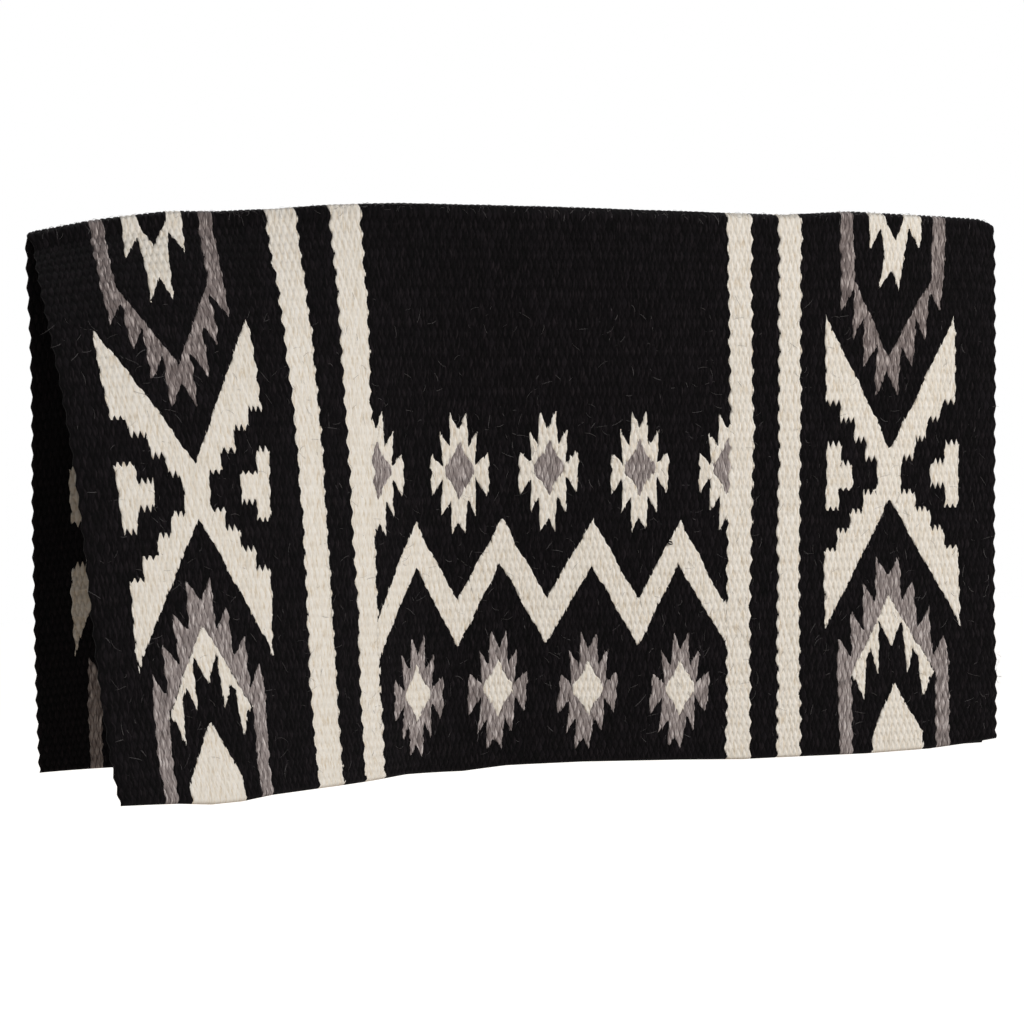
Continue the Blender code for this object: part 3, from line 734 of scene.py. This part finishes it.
# %% [markdown]
# The two outer columns hold the same six figures and two combs. Their left and right versions share the
# drawing and differ only in how they wander. The star comes after the grey V and the cream chevron after
# the grey one, so that the inner figure covers the outer one where the two touch.

# %% The outer columns
for side in ("left", "right"):
    for name, yarn, half, scallop in (
        ("feathered_v", "grey", FEATHERED_V, 0.8), ("forked_star", "cream", STAR, 0.5),
        ("stepped_cross", "cream", CROSS, 0.8), ("feathered_chevron", "grey", FEATHERED_CHEVRON, 0.8),
        ("toothed_chevron", "cream", TOOTHED_CHEVRON, 0.3), ("hem_triangle", "cream", HEM_TRIANGLE, 0.8),
    ):
        weave(f"{side}_{name}", yarn, whole_figure(f"{side}_{name}", half), scallop)
    for place_of in ("outer", "inner"):
        weave(f"{side}_{place_of}_comb", "cream", COMBS[f"{side}_{place_of}"], 0.6)
print("areas in all", len(AREAS), "cells", woven.size)

# %% [markdown]
# Cells are small, but an area's edge would still run in steps. Every grid point between two areas is
# therefore moved to the nearest place on the woven outline, less than two millimetres away. The search runs
# on a few thousand points at once, which keeps the arrays small.

# %% Move the points between areas onto the outlines
FARTHEST_MM = 1.7
SPOTS_AT_ONCE = 2000
around = np.pad(woven, 1, mode="edge")
corners_of = [around[:-1, :-1], around[:-1, 1:], around[1:, :-1], around[1:, 1:]]
between = np.zeros((ROWS, LINES), bool)
for other in corners_of[1:]:
    between |= corners_of[0] != other
sign_down = np.where(grid_down < 0, -1.0, 1.0)
place_mm = np.stack(drawn_place(grid_across / MM, grid_down / WARP), axis=-1) * (1.0, WARP / MM)
best = np.full((ROWS, LINES), FARTHEST_MM)
target = place_mm.copy()
for number, edge in OUTLINES:
    line = edge * np.array([1.0, WARP / MM])
    low, high = line.min(axis=0) - FARTHEST_MM, line.max(axis=0) + FARTHEST_MM
    nearby = between & (place_mm > low).all(axis=-1) & (place_mm < high).all(axis=-1)
    touches = np.zeros_like(between)
    for corner in corners_of:
        touches |= corner == number
    row, column = np.nonzero(nearby & touches)
    if not len(row):
        continue
    spots = place_mm[row, column]
    starts, ways = line, np.roll(line, -1, axis=0) - line
    for chunk in range(0, len(spots), SPOTS_AT_ONCE):
        here = spots[chunk:chunk + SPOTS_AT_ONCE, None, :]
        share = ((here - starts) * ways).sum(-1) / np.maximum((ways**2).sum(-1), 1e-12)
        nearest = starts + np.clip(share, 0, 1)[..., None] * ways
        distance = np.linalg.norm(here - nearest, axis=-1)
        pick = distance.argmin(axis=1)
        found = distance[np.arange(len(pick)), pick]
        r, c = row[chunk:chunk + SPOTS_AT_ONCE], column[chunk:chunk + SPOTS_AT_ONCE]
        closer = found < best[r, c]
        best[r[closer], c[closer]] = found[closer]
        target[r[closer], c[closer]] = nearest[np.arange(len(pick)), pick][closer]
print("points between areas", int(between.sum()), "moved", int((best < FARTHEST_MM).sum()))

# %% [markdown]
# Two neighbouring points can be drawn to the same place, or past each other, which would pinch a cell or
# turn it over. There the moves are taken back by halves until every cell is whole again, or the tries are
# used up.

# %% Take back moves that would fold a cell
LEAST_CELL_SHARE = 0.12
TRIES = 8
move = target - place_mm
move[..., 1] *= sign_down
rest = np.stack([grid_across / MM, grid_down / MM], axis=-1)
move[:, [0, -1], 0] = 0


def cell_size(points):
    """How large each cell is, and a number whose sign says which way round its corners run."""
    a, b = points[1:, 1:] - points[:-1, :-1], points[1:, :-1] - points[:-1, 1:]
    turned = a[..., 0] * b[..., 1] - a[..., 1] * b[..., 0]
    return np.abs(turned) / 2, turned


usual, turning = cell_size(rest)
for _ in range(TRIES):
    size, turn = cell_size(rest + move)
    bad = (size < LEAST_CELL_SHARE * usual) | (np.sign(turn) != np.sign(turning))
    if not bad.any():
        break
    beside = np.pad(bad, 1)
    move[beside[:-1, :-1] | beside[:-1, 1:] | beside[1:, :-1] | beside[1:, 1:]] *= 0.5
print("cells still pinched", int(bad.sum()))
grid_across = (rest + move)[..., 0] * MM
grid_down = (rest + move)[..., 1] * MM

# %% [markdown]
# A loom never spaces its yarns evenly. Slow drifts push the floats a fraction of a millimetre sideways and
# make some ribs fuller than others. They are sums of a few long waves, which is cheap and always the same.
# The two side edges scallop too, because every second rib's turn stands half a float out.

# %% Uneven spacing
SELVAGE_SCALLOP = 0.0009
DRIFT_SHARE, DRIFT_LENGTH, DRIFT_DOWN_SHARE = 0.16, 0.016, 0.35
WOBBLE_SHARE, WOBBLE_LENGTH = 0.07, 0.045
WAVES = 9


def drift(across, down, length, seed):
    """A smooth random field between about -1 and 1, whose bumps are as long as the length."""
    waves = np.random.default_rng(seed)
    total = np.zeros_like(across)
    for _ in range(WAVES):
        angle, phase, stretch = waves.uniform(0, pi), waves.uniform(0, 2 * pi), waves.uniform(0.7, 1.6)
        total += np.sin((across * cos(angle) + down * sin(angle)) * 2 * pi / (length * stretch) + phase)
    return total / (WAVES / 2)


inward = np.minimum(line_across, WIDTH - line_across)[None, :]
border = np.clip(inward / (3 * FLOAT), 0, 1)
sideways = DRIFT_SHARE * FLOAT * drift(grid_across, grid_down * DRIFT_DOWN_SHARE, DRIFT_LENGTH, 1) * border
rib_phase = rib_at(grid_down / WARP)
sideways -= SELVAGE_SCALLOP * np.cos(pi * rib_phase) * (1 - border)
wobble = WOBBLE_SHARE * RIB * drift(grid_across, grid_down, WOBBLE_LENGTH, 2)
wobble *= np.clip((CLOTH_HALF - np.abs(grid_down)) / (2 * RIB), 0, 1)
print("sideways drift up to", round(float(np.abs(sideways).max()) * 1000, 2), "mm")

# %% [markdown]
# The relief has two parts. A rib swells over its warp, and a float swells between its two edges. Both are
# kept low, because beaten wool is nearly flat: under a millimetre for the rib and half of that for the float.
# Each float also gets its own fullness, so no two catch the light alike.

# %% Relief of ribs and floats
VALLEY_HEIGHT = 0.0021
RIB_SWELL = 0.0009
FLOAT_SWELL = 0.0004
EDGE_SHARE = 0.28
row_share = (np.arange(ROWS) % ROWS_PER_RIB)[:, None] / ROWS_PER_RIB
swell = np.sin(pi * row_share) ** 0.8 * np.ones((1, LINES))
line_place = np.arange(LINES)[None, :] / LINES_PER_FLOAT - 0.5 * odd[row_rib][:, None]
crown = np.sin(pi * (line_place % 1.0)) ** 0.8
float_of_line = np.clip(np.floor(line_place), 0, FLOATS - 1).astype(int)
fullness = rng.uniform(0.55, 1.35, (RIB_COUNT, FLOATS))[row_rib[:, None], float_of_line]
relief = RIB_SWELL * swell + FLOAT_SWELL * crown * swell * fullness
rim = np.minimum(inward / (1.5 * FLOAT), (EDGES[-1] - np.abs(grid_down)) / (0.6 * RIB))
rounding = np.sqrt(1 - (1 - np.clip(rim, 0, 1)) ** 2) * (1 - EDGE_SHARE) + EDGE_SHARE
grid_height = (VALLEY_HEIGHT + relief) * rounding
print("cloth", round(2000 * float(VALLEY_HEIGHT + RIB_SWELL), 2), "mm thick at the ribs")

# %% [markdown]
# The grid is cut into pieces along the areas' outlines: one piece for each yarn area on each half of the
# cloth. Every piece is a closed skin, with a face on both sides of the cloth and a narrow wall round it.
# Neighbours share the same outline, so no daylight shows between them.

# %% The two sides of the cloth as points in space
cell_rib = np.repeat(row_rib[:-1][:, None], LINES - 1, axis=1)
cell_float = np.floor(np.arange(LINES - 1)[None, :] / LINES_PER_FLOAT - 0.5 * odd[cell_rib[:, :1]])
cell_float = np.clip(cell_float.astype(int), 0, FLOATS - 1)
fold_place = fold_line(grid_across)
fold_row = RIB_COUNT // 2 * ROWS_PER_RIB + ROWS_PER_RIB // 2
cell_front = np.repeat((np.arange(ROWS - 1) >= fold_row)[:, None], LINES - 1, axis=1)
tone = rng.normal(0, 1, (RIB_COUNT, FLOATS))
strand = rng.normal(0, 1, 2 * FLOATS + 2)
front_side = grid_down - fold_place + wobble >= 0


def world_points(sign):
    """Every grid point in space, on the outer side of the cloth for 1 and on the inner side for -1."""
    down = np.abs(grid_down + wobble - fold_place)
    across = grid_across + sideways
    height = sign * grid_height
    down = down + np.where(front_side, hem_ease("front", across, down), hem_ease("rear", across, down))
    front, rear = (place(side, across, down, height) for side in ("front", "rear"))
    return np.where(front_side[..., None], front, rear)


outer_points = world_points(1)
inner_points = world_points(-1)
print("lowest point", round(float(outer_points[..., 2].min()), 4))

# %% [markdown]
# A mesh of this size is best filled from arrays, which takes a second where face by face would take minutes.
# Each piece also carries notes for its material: where each point lies on the flat cloth, how near it is to
# a gap, which sets the painted shade there, and how light the dye took on each float. The streaks, tones and
# painted shade then follow the yarn, however the cloth hangs.

# %% Turn one yarn area into a closed mesh


def cut_piece(name, chosen):
    """A closed mesh of the chosen grid cells."""
    row, line = np.nonzero(chosen)
    corner = np.stack([row * LINES + line, row * LINES + line + 1, (row + 1) * LINES + line + 1,
                       (row + 1) * LINES + line], axis=1)
    used, local = np.unique(corner, return_inverse=True)
    faces = local.reshape(corner.shape)
    count = len(used)
    pairs = np.stack([faces, np.roll(faces, -1, axis=1)], axis=-1).reshape(-1, 2)
    key = pairs.min(axis=1) * count + pairs.max(axis=1)
    _, first, times = np.unique(key, return_index=True, return_counts=True)
    rim_edges = pairs[first[times == 1]]
    start, end = rim_edges.T
    walls = np.stack([end, start, start + count, end + count], axis=1)
    quads = np.concatenate([faces, faces[:, ::-1] + count, walls])
    points = np.concatenate([outer_points.reshape(-1, 3)[used], inner_points.reshape(-1, 3)[used]])
    mesh = bpy.data.meshes.new(name)
    mesh.vertices.add(len(points))
    mesh.vertices.foreach_set("co", points.astype(np.float32).ravel())
    mesh.loops.add(quads.size)
    mesh.loops.foreach_set("vertex_index", quads.astype(np.int32).ravel())
    mesh.polygons.add(len(quads))
    mesh.polygons.foreach_set("loop_start", np.arange(len(quads), dtype=np.int32) * 4)
    mesh.update(calc_edges=True)
    smooth = np.concatenate([np.ones(2 * len(faces), bool), np.zeros(len(walls), bool)])
    mesh.polygons.foreach_set("use_smooth", smooth)
    # How deep each point lies beside its float, in its rib's valley and at the cloth's edge. The material
    # darkens the base colour by the first two, as painted shade.
    gap_shade_masks = ((1 - crown) * np.ones_like(grid_down), 1 - swell, 1 - rounding)
    for label, channels in (("cloth", (grid_across, grid_down, grid_height)), ("gap_shade_masks", gap_shade_masks)):
        values = np.stack([channel.ravel()[used] for channel in channels], axis=1)
        attribute = mesh.attributes.new(label, "FLOAT_VECTOR", "POINT")
        attribute.data.foreach_set("vector", np.tile(values, (2, 1)).astype(np.float32).ravel())
    rib, number = cell_rib[row, line], cell_float[row, line]
    float_tone = 0.75 * tone[rib, number] + 0.5 * strand[2 * number + odd[rib]]
    float_tone = np.concatenate([float_tone, float_tone, np.zeros(len(walls))])
    attribute = mesh.attributes.new("float_tone", "FLOAT", "FACE")
    attribute.data.foreach_set("value", (float_tone * 0.25 + 0.5).astype(np.float32))
    piece = bpy.data.objects.new(name, mesh)
    bpy.context.scene.collection.objects.link(piece)
    return piece


pieces = {}
for half, in_half in (("front", cell_front), ("rear", ~cell_front)):
    for number, area in enumerate(AREAS):
        chosen = (woven == number) & in_half
        if chosen.any():
            pieces[f"{half}_{area}"] = cut_piece(f"woven_{half}_{area}", chosen)
faces = [len(piece.data.polygons) for piece in pieces.values()]
print("pieces", len(pieces), "faces", sum(faces), "largest", max(faces))

# %% [markdown]
# Dyed wool is never one colour: each strand was carded from fleece of slightly different shades, and the
# spinner's hand varied. So each float has its own tone and long streaks run down the yarn. The dips between
# floats and the valleys between ribs get painted shade: the base colour is darkened there, where shade falls
# between the yarns. The fibres catch a dusty light, which the sheen setting gives. The noise is stretched
# along the yarn, and its scales count waves to the metre, across and down.

# %% A wool material
HEATHER_FIBRES, STREAK_FIBRES, FINE_FIBRES = (900, 70, 3), (620, 85, 2), (2600, 420, 2)
STREAK_RANGE = (0.52, 0.72)
SIDE_GAP_SHADE_RANGE, VALLEY_SHADE_RANGE = (0.45, 1.0), (0.35, 1.0)
DARKEST_SHARE, LIGHTEST_SHARE = 0.15, 0.85
BUMP_STRENGTH, BUMP_DISTANCE = 0.55, 0.0004
WOOL_ROUGHNESS, SHEEN_ROUGHNESS = 0.92, 0.6
NO_SHADE = (1.0, 1.0, 1.0)


def wool(name, shades, streak, side_gap_shade, valley_shade, sheen, contrast, gloss=0.15):
    """Three shades from dark to light, a streak colour, the painted shade colours beside floats and in
    valleys, and the shine.
    """
    material = bpy.data.materials.new(name)
    material.use_nodes = True
    nodes, links = material.node_tree.nodes, material.node_tree.links
    bsdf = nodes["Principled BSDF"]

    def note(label):
        attribute = nodes.new("ShaderNodeAttribute")
        attribute.attribute_name = label
        return attribute.outputs

    cloth, own, gap_shade_masks = note("cloth"), note("float_tone"), note("gap_shade_masks")

    def fibres(across_scale, down_scale, detail):
        stretch = nodes.new("ShaderNodeMapping")
        stretch.inputs["Scale"].default_value = (across_scale, down_scale, 0.0)
        links.new(cloth["Vector"], stretch.inputs["Vector"])
        noise = nodes.new("ShaderNodeTexNoise")
        noise.inputs["Scale"].default_value = 1.0
        noise.inputs["Detail"].default_value = detail
        links.new(stretch.outputs["Vector"], noise.inputs["Vector"])
        return noise.outputs["Fac"]

    def blend(factor, first, second, kind="MIX"):
        mix = nodes.new("ShaderNodeMix")
        mix.data_type = "RGBA"
        mix.blend_type = kind
        for label, value in (("Factor", factor), ("A", first), ("B", second)):
            socket = mix.inputs[label]
            if isinstance(value, bpy.types.NodeSocket):
                links.new(value, socket)
            elif isinstance(value, tuple):
                socket.default_value = (*value, 1)
            else:
                socket.default_value = value
        return mix.outputs["Result"]

    def ramp(value, low, high):
        spread = nodes.new("ShaderNodeMapRange")
        spread.inputs["From Min"].default_value = low
        spread.inputs["From Max"].default_value = high
        links.new(value, spread.inputs["Value"])
        return spread.outputs["Result"]

    heather = nodes.new("ShaderNodeMath")
    heather.operation = "MULTIPLY_ADD"
    links.new(own["Fac"], heather.inputs[0])
    heather.inputs[1].default_value = contrast
    links.new(fibres(*HEATHER_FIBRES), heather.inputs[2])
    colours = nodes.new("ShaderNodeValToRGB")
    for stop, colour in zip(colours.color_ramp.elements, (shades[0], shades[2])):
        stop.color = (*colour, 1)
    colours.color_ramp.elements[0].position = DARKEST_SHARE + contrast * 0.5
    colours.color_ramp.elements[1].position = LIGHTEST_SHARE + contrast * 0.5
    middle = colours.color_ramp.elements.new(0.5 + contrast * 0.5)
    middle.color = (*shades[1], 1)
    links.new(heather.outputs[0], colours.inputs["Fac"])
    coloured = blend(ramp(fibres(*STREAK_FIBRES), *STREAK_RANGE), colours.outputs["Color"], streak)
    gap = nodes.new("ShaderNodeSeparateXYZ")
    links.new(gap_shade_masks["Vector"], gap.inputs["Vector"])
    # Painted shade: the base colour is darkened beside each float and in each valley between ribs, where
    # shade falls.
    beside = blend(ramp(gap.outputs["X"], *SIDE_GAP_SHADE_RANGE), NO_SHADE, side_gap_shade)
    below = blend(ramp(gap.outputs["Y"], *VALLEY_SHADE_RANGE), NO_SHADE, valley_shade)
    shaded = blend(1.0, beside, below, "MULTIPLY")
    links.new(blend(1.0, coloured, shaded, "MULTIPLY"), bsdf.inputs["Base Color"])
    bump = nodes.new("ShaderNodeBump")
    bump.inputs["Strength"].default_value = BUMP_STRENGTH
    bump.inputs["Distance"].default_value = BUMP_DISTANCE
    links.new(fibres(*FINE_FIBRES), bump.inputs["Height"])
    links.new(bump.outputs["Normal"], bsdf.inputs["Normal"])
    bsdf.inputs["Roughness"].default_value = WOOL_ROUGHNESS
    bsdf.inputs["Specular IOR Level"].default_value = gloss
    bsdf.inputs["Sheen Weight"].default_value = sheen
    bsdf.inputs["Sheen Roughness"].default_value = SHEEN_ROUGHNESS
    return material


# %% [markdown]
# There are three wools. Black wool takes the dye so deeply that only its streaks show, and it has next to
# no gloss. Undyed cream is the fleece's own colour, with a yellower strand here and there. Grey is dark and
# white fleece carded together, which gives it the strongest streaks. The grey in the diamonds and the
# chevrons is a lighter copy of the grey in the feathered V. That copy is painted light, for the stronger
# light on the middle and lower part of the cloth.

# %% The dyed wools
# The side gap and valley colours in this table are painted shade, multiplied into the base colour in the gaps
# and valleys.
WOOL = {
    "black": wool("black_wool",
                  shades=((0.0006, 0.0005, 0.0006), (0.0022, 0.0016, 0.0020), (0.0066, 0.0053, 0.0064)),
                  streak=(0.014, 0.011, 0.0125), side_gap_shade=(0.35, 0.35, 0.35), valley_shade=(0.35, 0.35, 0.35),
                  sheen=0.014, contrast=0.45, gloss=0.08),
    "cream": wool("cream_wool",
                  shades=((0.66, 0.605, 0.52), (0.79, 0.742, 0.668), (0.83, 0.792, 0.735)),
                  streak=(0.64, 0.55, 0.43), side_gap_shade=(0.93, 0.89, 0.83), valley_shade=(0.97, 0.95, 0.92),
                  sheen=0.10, contrast=0.30),
    "painted_lit_grey": wool("painted_lit_grey_wool",
                       shades=((0.075, 0.062, 0.059), (0.245, 0.208, 0.199), (0.52, 0.465, 0.445)),
                       streak=(0.66, 0.60, 0.575), side_gap_shade=(0.26, 0.23, 0.23), valley_shade=(0.70, 0.68, 0.68),
                       sheen=0.08, contrast=0.22),
    "grey": wool("grey_wool",
                 shades=((0.055, 0.042, 0.040), (0.175, 0.143, 0.136), (0.42, 0.365, 0.345)),
                 streak=(0.60, 0.53, 0.50), side_gap_shade=(0.26, 0.23, 0.23), valley_shade=(0.70, 0.68, 0.68),
                 sheen=0.08, contrast=0.22),
}
for name, piece in pieces.items():
    area = name.split("_", 1)[1]
    # The diamonds and the chevrons take the lighter copy of the grey, which is painted light for the stronger
    # light lower on the cloth.
    light = YARN[area] == "grey" and ("diamond" in area or "chevron" in area)
    piece.data.materials.append(WOOL["painted_lit_grey" if light else YARN[area]])
print("materials", list(WOOL))

# %% [markdown]
# Each woven piece stands for the plain piece of the same name. Pieces that touch the fold are left where they
# hang and joined to no body, so they don't bend when a half is lifted. The others ride on their half. The
# fold sags at its left end, so the height where a bend would start follows the sag from piece to piece. It
# is worked out for each piece at the fold, but nothing uses it.

# %% Join the pieces away from the fold to the moving bodies
BEND = 0.030
sag_stops = np.concatenate([[0], STRIPE_EDGES[:4], [WIDTH]])
bend_top = -SAG * np.clip(1 - sag_stops / SAG_REACH, 0, 1) ** 2


def cloth_places(piece):
    """Where the piece's points lie on the flat cloth: across it, and down from the middle warp."""
    places = np.zeros(len(piece.data.vertices) * 3)
    piece.data.attributes["cloth"].data.foreach_get("vector", places)
    return places.reshape(-1, 3)[:, :2]


def bend_line(piece):
    """Start and end of the bend for the columns of cloth that the piece lies in."""
    across = cloth_places(piece)[:, 0]
    middle = (across.min() + across.max()) / 2
    k = int(np.clip(np.searchsorted(sag_stops, middle) - 1, 0, len(sag_stops) - 2))
    x0, x1 = sag_stops[k] - WIDTH / 2, sag_stops[k + 1] - WIDTH / 2
    slope = (bend_top[k + 1] - bend_top[k]) / (x1 - x0)
    start = np.array([0.0, 0.0, bend_top[k] - slope * x0])
    end = start + np.array([slope, 0.0, -1.0]) * BEND / (1 + slope**2)
    return tuple(start), tuple(end)


BLEND_DEPTH = 0.075
plain_names = set(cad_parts)
for name, piece in pieces.items():
    half, area = name.split("_", 1)
    if np.abs(cloth_places(piece)[:, 1]).min() < BLEND_DEPTH:
        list(bend_line(piece))
        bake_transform(piece)
    else:
        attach(piece, half + "_flap")
    stands_for = [n for n in (name, "ridge_" + area) if n in plain_names]
    if area == "centre_ground_upper":
        stands_for.append("ridge_centre_ground")
    if stands_for:
        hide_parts(*stands_for)
left_over = [n for n in plain_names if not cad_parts[n].hide_render]
print("plain pieces still showing:", left_over)

# %% [markdown]
# Wool sheds. Short fibres work loose and lie on the black ground, a few stand up along the fold, and a tuft
# hangs from the right edge near the hem. A hair system could strew them, but it would not export, and so
# each fibre is a thin three-sided tube laid on the cloth.

# %% Helpers for loose fibres
FIBRE_RADIUS = 0.00010
FIBRE_POINTS = 7
FIBRE_CURL = 0.9
SURFACE_HEIGHT = 0.0026
SIDES = 3


def tubes(name, paths, radii):
    """One mesh of thin tubes. Paths is an array of fibres, points along each, and x, y, z."""
    ways = np.gradient(paths, axis=1)
    ways /= np.linalg.norm(ways, axis=-1, keepdims=True)
    first = np.cross(ways, np.array([0.31, 0.52, 0.79]))
    first /= np.linalg.norm(first, axis=-1, keepdims=True)
    second = np.cross(ways, first)
    turns = np.arange(SIDES) * 2 * pi / SIDES
    rings = paths[:, :, None] + radii[..., None, None] * (
        np.cos(turns)[:, None] * first[:, :, None] + np.sin(turns)[:, None] * second[:, :, None])
    count, along = paths.shape[:2]
    corner = np.arange(count * along * SIDES).reshape(count, along, SIDES)
    a, b = corner[:, :-1], corner[:, 1:]
    quads = np.stack([a, np.roll(a, -1, axis=2), np.roll(b, -1, axis=2), b], axis=-1).reshape(-1, 4)
    ends = np.concatenate([corner[:, 0, ::-1], corner[:, -1]])
    mesh = bpy.data.meshes.new(name)
    mesh.from_pydata(rings.reshape(-1, 3).tolist(), [], quads.tolist() + ends.tolist())
    mesh.update()
    piece = bpy.data.objects.new(name, mesh)
    bpy.context.scene.collection.objects.link(piece)
    return piece


def stray_fibres(name, side, number, across_ends, down_ends, length_ends, stand, seed):
    """Fibres strewn over a part of one half, each with its own way, length and curl."""
    strew = np.random.default_rng(seed)
    along = np.linspace(0, 1, FIBRE_POINTS)[None, :]
    across = strew.uniform(*across_ends, (number, 1))
    down = strew.uniform(*down_ends, (number, 1))
    length = strew.uniform(*length_ends, (number, 1))
    way = strew.uniform(0, 2 * pi, (number, 1)) + strew.normal(0, FIBRE_CURL, (number, 1)) * along
    step = length / (FIBRE_POINTS - 1)
    across = across + np.cumsum(np.cos(way) * step, axis=1)
    down = np.abs(down + np.cumsum(np.sin(way) * step, axis=1))
    rise = strew.uniform(0.3, 1.0, (number, 1)) * stand * np.sin(pi * along) ** 0.8
    paths = place(side, across, down, SURFACE_HEIGHT + rise)
    radii = FIBRE_RADIUS * strew.uniform(0.6, 1.2, (number, 1)) * (1.15 - np.abs(2 * along - 1) ** 3)
    return tubes(name, paths, radii)


print("fibre", FIBRE_RADIUS * 2000, "mm thick")

# %% [markdown]
# Four beds of fibres: one on each half, one along the fold and the tuft. Each bed is strewn inside its own
# part of the cloth, and kept off the band that bends, so that its mesh can ride on one body. The loose
# fibres are a dim grey, because a hair far thinner than a pixel shows only a little of its own paleness.

# %% Strew the fibres
ON_CLOTH = (0.006, 0.857)
ON_FLAP, ON_FOLD = (0.085, 0.470), (0.0, 0.007)
LONG_FIBRES, SHORT_FIBRES, TUFT_FIBRES = (0.004, 0.016), (0.003, 0.008), (0.003, 0.007)
LOOSE_COLOUR, LOOSE_ROUGHNESS = (0.12, 0.11, 0.11), 0.8
loose_wool = bpy.data.materials.new("loose_wool")
loose_wool.use_nodes = True
loose_shader = loose_wool.node_tree.nodes["Principled BSDF"]
loose_shader.inputs["Base Color"].default_value = (*LOOSE_COLOUR, 1)
loose_shader.inputs["Roughness"].default_value = LOOSE_ROUGHNESS
FIBRE_BEDS = {
    "stray_fibres_front": {"side": "front", "number": 900, "across_ends": ON_CLOTH, "down_ends": ON_FLAP,
                           "length_ends": LONG_FIBRES, "stand": 0.0010, "seed": 31},
    "stray_fibres_rear": {"side": "rear", "number": 700, "across_ends": ON_CLOTH, "down_ends": ON_FLAP,
                          "length_ends": LONG_FIBRES, "stand": 0.0010, "seed": 32},
    "stray_fibres_fold": {"side": "front", "number": 260, "across_ends": (0.006, 0.855),
                          "down_ends": ON_FOLD, "length_ends": SHORT_FIBRES, "stand": 0.0016, "seed": 33},
    "tuft_at_right_edge": {"side": "front", "number": 26, "across_ends": (0.860, 0.864),
                           "down_ends": (0.398, 0.424), "length_ends": TUFT_FIBRES,
                           "stand": 0.0006, "seed": 34},
}
for name, bed in FIBRE_BEDS.items():
    fibres = stray_fibres(name, **bed)
    dark = name.startswith("tuft")
    fibres.data.materials.append(WOOL["black"] if dark else loose_wool)
    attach(fibres, "ridge" if bed["down_ends"] == ON_FOLD else bed["side"] + "_flap")
print("fibre meshes", len(FIBRE_BEDS))

# %% [markdown]
# One weft of the real blanket was pulled out into a small dark loop on the zigzag, as happens when a buckle
# catches it. It is a ring of black yarn, not quite closed, that lies on the cream and leans a little. The
# same tube that makes a fibre makes it, only thicker.

# %% The pulled loop of weft
LOOP_ACROSS, LOOP_DOWN = 0.5490, 0.2920
LOOP_WIDTH, LOOP_HEIGHT, LOOP_YARN = 0.0021, 0.0014, 0.00062
LOOP_LIFT = 0.0046
LOOP_TURN, LOOP_LEAN_SHARE, LOOP_POINTS = 1.85 * pi, 0.25, 15
around_loop = np.linspace(0, LOOP_TURN, LOOP_POINTS)[None, :]
loop_across = LOOP_WIDTH * np.cos(around_loop)
loop_down = LOOP_HEIGHT * np.sin(around_loop)
loop_path = place("front", LOOP_ACROSS + loop_across, LOOP_DOWN + loop_down + LOOP_LEAN_SHARE * loop_across,
                  np.full_like(around_loop, LOOP_LIFT))
pulled_loop = tubes("pulled_loop", loop_path, np.full_like(around_loop, LOOP_YARN))
pulled_loop.data.materials.append(WOOL["black"])
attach(pulled_loop, "front_flap")
print("loop points", loop_path.shape[1])

# %% [markdown]
# The blanket is one sheet of cloth, cut here along its yarn areas. Each ground is measured as a sheet
# together with the stripes and figures that are woven into it, so that it has a size one could cut, and the
# sizes are printed: the two outer columns whole, and the centre field above and below the zigzag. The flat
# size comes from the loom grid, which is the cloth before it was hung, and the area counts the cells that
# are really wool.

LEAST_AREA_SHARE = 0.301
GOES_WITH = {
    "left_ground": ("left_",),
    "right_ground": ("right_",),
    "centre_ground_upper": ("upper_diamond", "zigzag"),
    "centre_ground_lower": ("lower_diamond",),
}
for half in ("front", "rear"):
    in_half = cell_front if half == "front" else ~cell_front
    for ground, beginnings in GOES_WITH.items():
        own_name = f"{half}_{ground}"
        shown = [own_name]
        for beginning in beginnings:
            shown += [n for n in pieces if n.startswith(f"{half}_{beginning}") and n != own_name]
        width, length = map(float, np.ptp(np.concatenate([cloth_places(pieces[n]) for n in shown]), axis=0))
        chosen = [AREAS.index(n.split("_", 1)[1]) for n in shown]
        cells = int((np.isin(woven, chosen) & in_half).sum())
        area = cells * FLOAT / LINES_PER_FLOAT * 2 * CLOTH_HALF / (ROWS - 1)
        area = float(np.clip(area, LEAST_AREA_SHARE * width * length, width * length))
        print(own_name, "flat", round(width, 3), "by", round(length, 3), "m, wool", round(area, 4))
